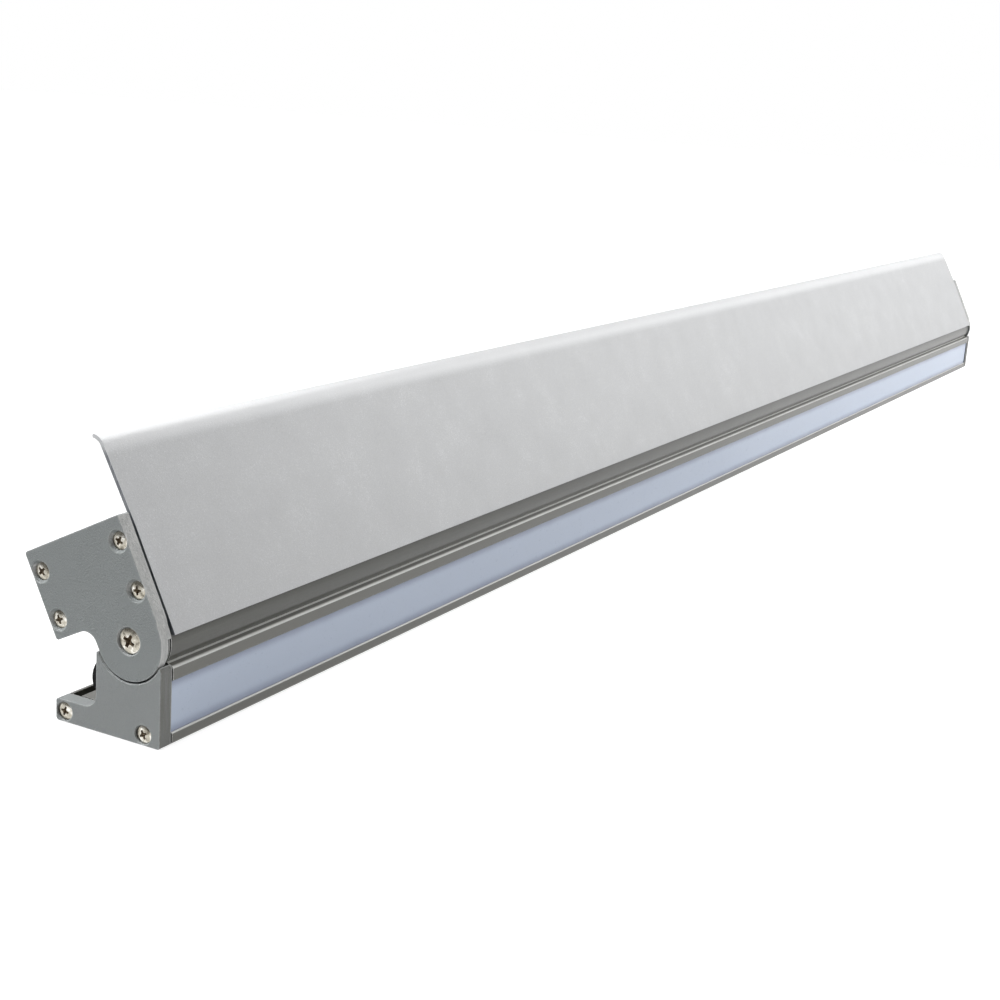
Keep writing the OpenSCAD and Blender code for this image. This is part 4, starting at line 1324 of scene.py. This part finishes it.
@dataclass
class Screws(Assembly):
    """Raised countersunk cross recess screws of one kind at both ends.

    The recess is given in shares of the head's radius, each place in the section with a turn in degrees.
    """

    head_r: float = 2.75
    shank_r: float = 1.45
    length: float = 12.0
    dome: float = 0.5
    rim: float = 0.2
    sink: float = 0.6
    name: str = "cap_screw"
    node: str = "lamp_cap_screws"
    places: tuple[Corner, ...] = ()
    recess_depth: float = 0.34
    recess_reach: float = 0.62
    blade_half: float = 0.17
    well_r: float = 0.36
    taper: Point = (0.55, 0.5)

    def master(self) -> Piece:
        """One screw along X at the origin: its rim at 0, its head towards +X.

        Returns:
            The screw, with a material for the head and one of painted shade for the recess.
        """
        ball = (self.head_r ** 2 + self.dome ** 2) / (2 * self.dome)
        top = [(self.dome - ball + ball * math.cos(a), ball * math.sin(a))
               for a in (math.asin(self.head_r / ball) * i / 6 for i in range(6, -1, -1))]
        cone = (self.head_r - self.shank_r) * 0.8
        profile = [(-self.length, 0.0), (-self.length, self.shank_r - 0.3),
                   (-self.length + 0.3, self.shank_r), (-self.rim - cone, self.shank_r),
                   (-self.rim, self.head_r), (-0.04, self.head_r)]
        profile += [(x, r) for x, r in top[1:]]
        screw = Bench.turned("screw", profile, 64)
        screw.data.materials.append(self.paint.mix(STEEL))
        bottom = self.dome - self.head_r * self.recess_depth
        reach, half = self.head_r * self.recess_reach, self.head_r * self.blade_half
        blades = []
        for turn in (0, 90):
            blade = Bench.block("blade", Vector((bottom, -reach, -half)),
                                Vector((self.dome + 0.2, reach, half)))
            for vertex in blade.data.vertices:
                if vertex.co.x < bottom + 0.01:
                    vertex.co.y *= self.taper[0]
                    vertex.co.z *= self.taper[1]
            Bench.moved(blade, Matrix.Rotation(math.radians(turn), 4, "X"))
            blades.append(blade)
        well = Bench.rod("well", bottom - 0.3, self.dome + 0.25, (0, 0), 0.2, self.head_r * self.well_r,
                         sides=20)
        recess = Bench.combine(blades[0], [blades[1], well], "UNION")
        recess.data.materials.append(self.paint.mix(RECESS_SHADE))
        return Bench.combine(screw, [recess], carry=True)

    def build(self) -> None:
        """Models one screw and copies it to every place at both ends."""
        master = self.master()
        for side, sign in ((Side.RIGHT, 1), (Side.LEFT, -1)):
            for i, (a, b, turn) in enumerate(self.places):
                screw = Bench.copy(master, f"{self.name}_{side.value}_{i + 1}")
                move = Matrix.Translation((self.face_x - self.sink, a, b))
                Bench.moved(screw, move @ Matrix.Rotation(math.radians(turn), 4, "X"))
                if sign < 0:
                    Bench.moved(screw, Matrix.Diagonal((-1, 1, 1, 1)))
                    Bench.edit(screw)
                    Bench.close()
                self.deliver(screw, STEEL, "screw_steel", [f"{self.node}_{side.value}"], 40)
        bpy.data.objects.remove(master, do_unlink=True)


@dataclass
class Glands(Assembly):
    """The cord glands: a body with a hexagon, a domed nut, a washer and a seal."""

    flats: float = 11.0
    thread_r: float = 3.9
    neck_r: float = 4.4
    passage_r: float = 2.4
    names: tuple[str, ...] = ("lamp",)
    places: tuple[Corner, ...] = ((-487.5, 24.4, 13.5),)
    wall: float = 2.1
    inside_l: float = 3.1
    rib_pitch: float = 0.4
    washer_r: float = 4.0
    socket_r: float = 3.5
    flange_x: Point = (0.7, 3.3)
    neck_x: Point = (4.4, 6.6)
    nut_x: Point = (3.5, 7.7)
    dome_x: Point = (7.5, 9.5)
    dome_r: float = 5.1
    hollow_r: float = 4.5
    mouth_r: float = 2.9
    ring: tuple[Point, ...] = ((0.0, 4.0), (0.0, 5.3), (0.15, 5.5), (0.65, 5.5), (0.8, 5.3), (0.8, 4.0),
                               (0.0, 4.0))
    seal: tuple[Point, ...] = ((4.4, 2.4), (4.4, 3.4), (6.6, 3.4), (6.8, 3.2), (6.8, 2.6), (6.6, 2.4),
                               (4.4, 2.4))

    def hexagon(self, name: str, low: float, high: float) -> Piece:
        """A hexagon along X with its corners broken at the outer end.

        Args:
            name: name of the piece.
            low: its inner end along X.
            high: its outer end along X.

        Returns:
            The closed solid.
        """
        corner = self.flats / 2 / math.cos(math.pi / 6)
        body = Bench.rod(name, low, high, (0, 0), corner, sides=6)
        Bench.moved(body, Matrix.Rotation(math.pi / 6, 4, "X"))
        brake = Bench.turned("brake", [(low - 1, 0), (low - 1, corner + 0.05), (high - 0.75, corner + 0.05),
                                       (high + 0.01, self.flats / 2 - 0.1), (high + 0.01, 0)], 64)
        return Bench.combine(body, [brake], "INTERSECT")

    def body_piece(self) -> Piece:
        """The gland body: thread, hexagon flange and neck round the passage.

        Returns:
            The closed solid.
        """
        inner = -self.wall - self.inside_l
        ribs = []
        for i in range(8):
            x = -self.wall - self.rib_pitch * i
            ribs += [(x, self.thread_r - 0.02), (x - self.rib_pitch / 2, self.thread_r - 0.22)]
        ribs = [(x, r) for x, r in ribs if x > inner + 0.1]
        (near, far), (seat, end) = self.flange_x, self.neck_x
        profile = [(inner, self.passage_r), (inner, self.thread_r - 0.25)] + ribs[::-1]
        profile += [(near, self.thread_r), (near, self.washer_r), (far, self.washer_r), (far, self.neck_r),
                    (end, self.neck_r), (end, self.socket_r), (seat, self.socket_r), (seat, self.passage_r),
                    (inner, self.passage_r)]
        shaft = Bench.turned("shaft", profile, 48)
        flange = self.hexagon("flange", near + 0.1, far + 0.1)
        Bench.combine(flange, [Bench.rod("bore", near - 0.2, far + 0.7, (0, 0), self.thread_r, sides=48)])
        return Bench.combine(flange, [shaft], "UNION")

    def nut_piece(self) -> Piece:
        """The domed nut, hollow over the neck.

        Returns:
            The closed solid.
        """
        nut = self.hexagon("nut", *self.nut_x)
        base, tip = self.dome_x
        rise = tip - self.nut_x[1]
        crown = ((self.flats / 2) ** 2 + rise ** 2) / (2 * rise)
        span = math.asin(self.dome_r / crown)
        dome = [(tip - crown + crown * math.cos(a), crown * math.sin(a))
                for a in (span * i / 8 for i in range(8, -1, -1))]
        top = Bench.turned("dome", [(base, 0), (base, self.dome_r)] + dome, 64)
        Bench.combine(nut, [top], "UNION")
        start = self.nut_x[0] - 0.5
        return Bench.combine(nut, [
            Bench.rod("hollow", start, self.neck_x[1] + 0.2, (0, 0), self.hollow_r, sides=48),
            Bench.rod("passage", start, tip + 0.5, (0, 0), self.passage_r, sides=48),
            Bench.rod("mouth", tip - 0.3, tip + 0.1, (0, 0), self.passage_r, self.mouth_r, sides=48)])

    def build(self) -> None:
        """Models the four pieces once and copies them to every gland."""
        masters = {"body": (self.body_piece(), NYLON, "gland_plastic"),
                   "nut": (self.nut_piece(), NYLON, "gland_plastic"),
                   "washer": (Bench.turned("washer", self.ring, 64), RUBBER, "seal_rubber"),
                   "seal": (Bench.turned("seal", self.seal, 48), RUBBER, "seal_rubber")}
        for name, at in zip(self.names, self.places):
            for part, (master, finish, slot) in masters.items():
                piece = Bench.copy(master, f"{name}_cord_{part}")
                Bench.moved(piece, Matrix.Translation(at) @ Matrix.Rotation(math.pi / 2, 4, "Z"))
                self.deliver(piece, finish, slot, [f"{name}_gland_{part}"], 35)
        for master, _, _ in masters.values():
            bpy.data.objects.remove(master, do_unlink=True)


@dataclass
class Studio:
    """Floor, backdrop light, lamps and camera, in metres.

    The camera's axes are in the model's frame. A fall or a glow is two distances or directions and
    the two levels that light takes between them.
    """

    location: tuple[float, float, float] = (-0.8575368, -0.3133573, 0.1951909)
    right: tuple[float, float, float] = (0.47671641, -0.87650607, 0.06692206)
    up: tuple[float, float, float] = (0.18158508, 0.172676, 0.968096)
    back: tuple[float, float, float] = (-0.86009785, -0.4493552, 0.24147791)
    lens: float = 59.812
    sensor: float = 36.0
    clip: float = 0.01
    floor_size: float = 12.0
    floor_drop: float = -0.0002
    floor_tones: tuple[Colour, Colour] = ((190, 190, 191), (196, 196, 196))
    floor_glow: tuple[float, float, float, float] = (0.75, 1.9, 0.72, 1.0)
    light_fall: tuple[float, float, float, float] = (-0.6, 0.9, 0.14, 0.44)
    gloss_fall: tuple[float, float, float, float] = (0.2, 0.8, 0.25, 1.0)
    bright_side: tuple[float, float, float] = (0.75, 0.6, 0.28)

    def camera(self) -> None:
        """Sets the camera at the photograph's place."""
        data = bpy.data.cameras.new("camera")
        data.lens = self.lens
        data.sensor_width = self.sensor
        data.clip_start = self.clip
        camera = bpy.data.objects.new("camera", data)
        bpy.context.collection.objects.link(camera)
        turn = Matrix((self.right, self.up, self.back)).transposed()
        camera.matrix_world = Matrix.Translation(self.location) @ turn.to_4x4()
        bpy.context.scene.camera = camera

    def shown(self, n: Nodes) -> Socket:
        """1 for rays that show the surroundings: from the camera, in gloss and through glass.

        Args:
            n: nodes of the material.

        Returns:
            The mask.
        """
        path = n.add("LightPath")
        seen = n.math("MAXIMUM", path.outputs["Is Camera Ray"], path.outputs["Is Glossy Ray"])
        return n.math("MAXIMUM", seen, path.outputs["Is Transmission Ray"])

    def floor(self) -> None:
        """A plain pale floor that keeps the shadow of the lamp."""
        Bench.clear()
        bpy.ops.mesh.primitive_plane_add(size=self.floor_size, location=(0, 0, self.floor_drop))
        floor = bpy.context.object
        floor.name = "floor"
        material = bpy.data.materials.new("pale floor")
        material.use_nodes = True
        n = Nodes(material.node_tree)
        shader = material.node_tree.nodes["Principled BSDF"]
        where = n.add("TexCoord").outputs["Object"]
        dark, pale = self.floor_tones
        away = n.ramp(n.add("VectorMath", {0: where}, operation="LENGTH").outputs[1], *self.floor_glow)
        values = {"Base Color": n.mix(n.noise(where, 6.0, 2.0), linear(dark), linear(pale)),
                  "Roughness": 0.9, "Emission Color": (1, 1, 1, 1),
                  "Emission Strength": n.math("MULTIPLY", self.shown(n), away)}
        n.fill_all(shader, values)
        floor.data.materials.append(material)

    def world(self) -> None:
        """White where it shows; in gloss and as a light it falls off away from the bright side."""
        world = bpy.data.worlds.new("studio")
        bpy.context.scene.world = world
        world.use_nodes = True
        n = Nodes(world.node_tree)
        sky = world.node_tree.nodes["Background"]
        sky.inputs["Color"].default_value = (1, 1, 1, 1)
        path = n.add("LightPath")
        shown = n.math("MAXIMUM", path.outputs["Is Camera Ray"], path.outputs["Is Transmission Ray"])
        toward = n.add("VectorMath", {0: n.add("TexCoord").outputs["Generated"], 1: self.bright_side},
                       operation="DOT_PRODUCT").outputs[1]
        light = n.ramp(toward, *self.light_fall)
        gloss = n.ramp(toward, *self.gloss_fall)
        level = n.blend(path.outputs["Is Glossy Ray"], light, gloss)
        n.tree.links.new(n.blend(shown, level, 1.0), sky.inputs["Strength"])

    def lamp(self, name: str, place: Vector, aim: Vector, size: float, power: float, spread: float = 180.0,
             gloss: bool = False) -> None:
        """One soft square lamp.

        Args:
            name: name of the lamp.
            place: where it stands.
            aim: the point that it lights.
            size: length of its side.
            power: its power in watts.
            spread: angle of its cone in degrees.
            gloss: whether it shows in gloss.
        """
        data = bpy.data.lights.new(name, "AREA")
        data.shape = "SQUARE"
        data.size = size
        data.energy = power
        data.spread = math.radians(spread)
        lamp = bpy.data.objects.new(name, data)
        bpy.context.collection.objects.link(lamp)
        lamp.visible_glossy = gloss
        turn = (aim - place).to_track_quat("-Z", "Y").to_matrix()
        lamp.matrix_world = Matrix.Translation(place) @ turn.to_4x4()

    def build(self) -> None:
        """Sets up everything round the object."""
        bpy.context.scene.view_settings.view_transform = "Standard"
        self.floor()
        self.world()
        self.lamp("key", Vector((0.75, -0.8, 1.0)), Vector((0.28, 0, 0.05)), 0.7, 12.6)
        self.lamp("side", Vector((1.6, -0.95, 0.8)), Vector((0.1, 0, 0.05)), 0.9, 5, gloss=True)
        self.lamp("top", Vector((0.4, -0.1, 1.3)), Vector((0.2, 0, 0.03)), 1.0, 5, gloss=True)
        self.lamp("edge", Vector((-0.66, 0.36, 0.56)), Vector((-0.5, 0, 0.04)), 0.16, 0.3, 40, True)
        self.camera()


def dress_carried(nodes: dict[str, Piece], paint: Paintshop) -> None:
    """Gives the nodes that keep their own mesh their finishes.

    Args:
        nodes: the frame's nodes by name.
        paint: builder of the finishes.
    """
    for name, node in nodes.items():
        for start, (finish, slot) in CARRIED.items():
            if name.startswith(start):
                node.data.materials.clear()
                node.data.materials.append(paint.mix(finish))
                LOG.info("%s keeps its mesh, in %s", name, finish.name)
                break


def corners(box: tuple) -> list[list[float]]:
    """A box as plain lists of numbers."""
    return [[float(c) for c in corner] for corner in box]


def main() -> None:
    """Loads the frame, builds every sub-assembly over it and sets the studio."""
    logging.basicConfig(level=logging.INFO, format="%(message)s")
    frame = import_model()
    paint = Paintshop()
    dress_carried(frame["nodes"], paint)
    lamp, head = (Body.LAMP, Frame.SECTION), (Body.HEAD, Frame.HEAD)
    Profiles(paint, *lamp).build()
    LampCaps(paint, *lamp).build()
    DriverHousing(paint, *head).build()
    Visor(paint, *head).build()
    DriverCaps(paint, *head).build()
    Screws(paint, *lamp, places=((36.65, 3.3, 15), (6.3, 3.3, 62))).build()
    Screws(paint, *head, name="driver_cap_screw", node="driver_cap_screws", sink=1.0,
           places=((-9.4, 13.0, 20), (-9.4, 28.3, 50), (23.85, 13.0, 5), (23.85, 28.3, 70))).build()
    Screws(paint, *lamp, name="pivot_bolt", node="pivot_screw", head_r=3.9, shank_r=2.0, length=18.0,
           dome=0.6, places=((12.2, 31.0, 25),)).build()
    Glands(paint, *lamp).build()
    Glands(paint, *head, names=("link", "supply"), places=((-470, 27.25, 20.65), (470, 27.25, 20.65)),
           wall=1.8).build()
    Studio().build()
    Bench.clear()


if __name__ == "__main__":
    main()
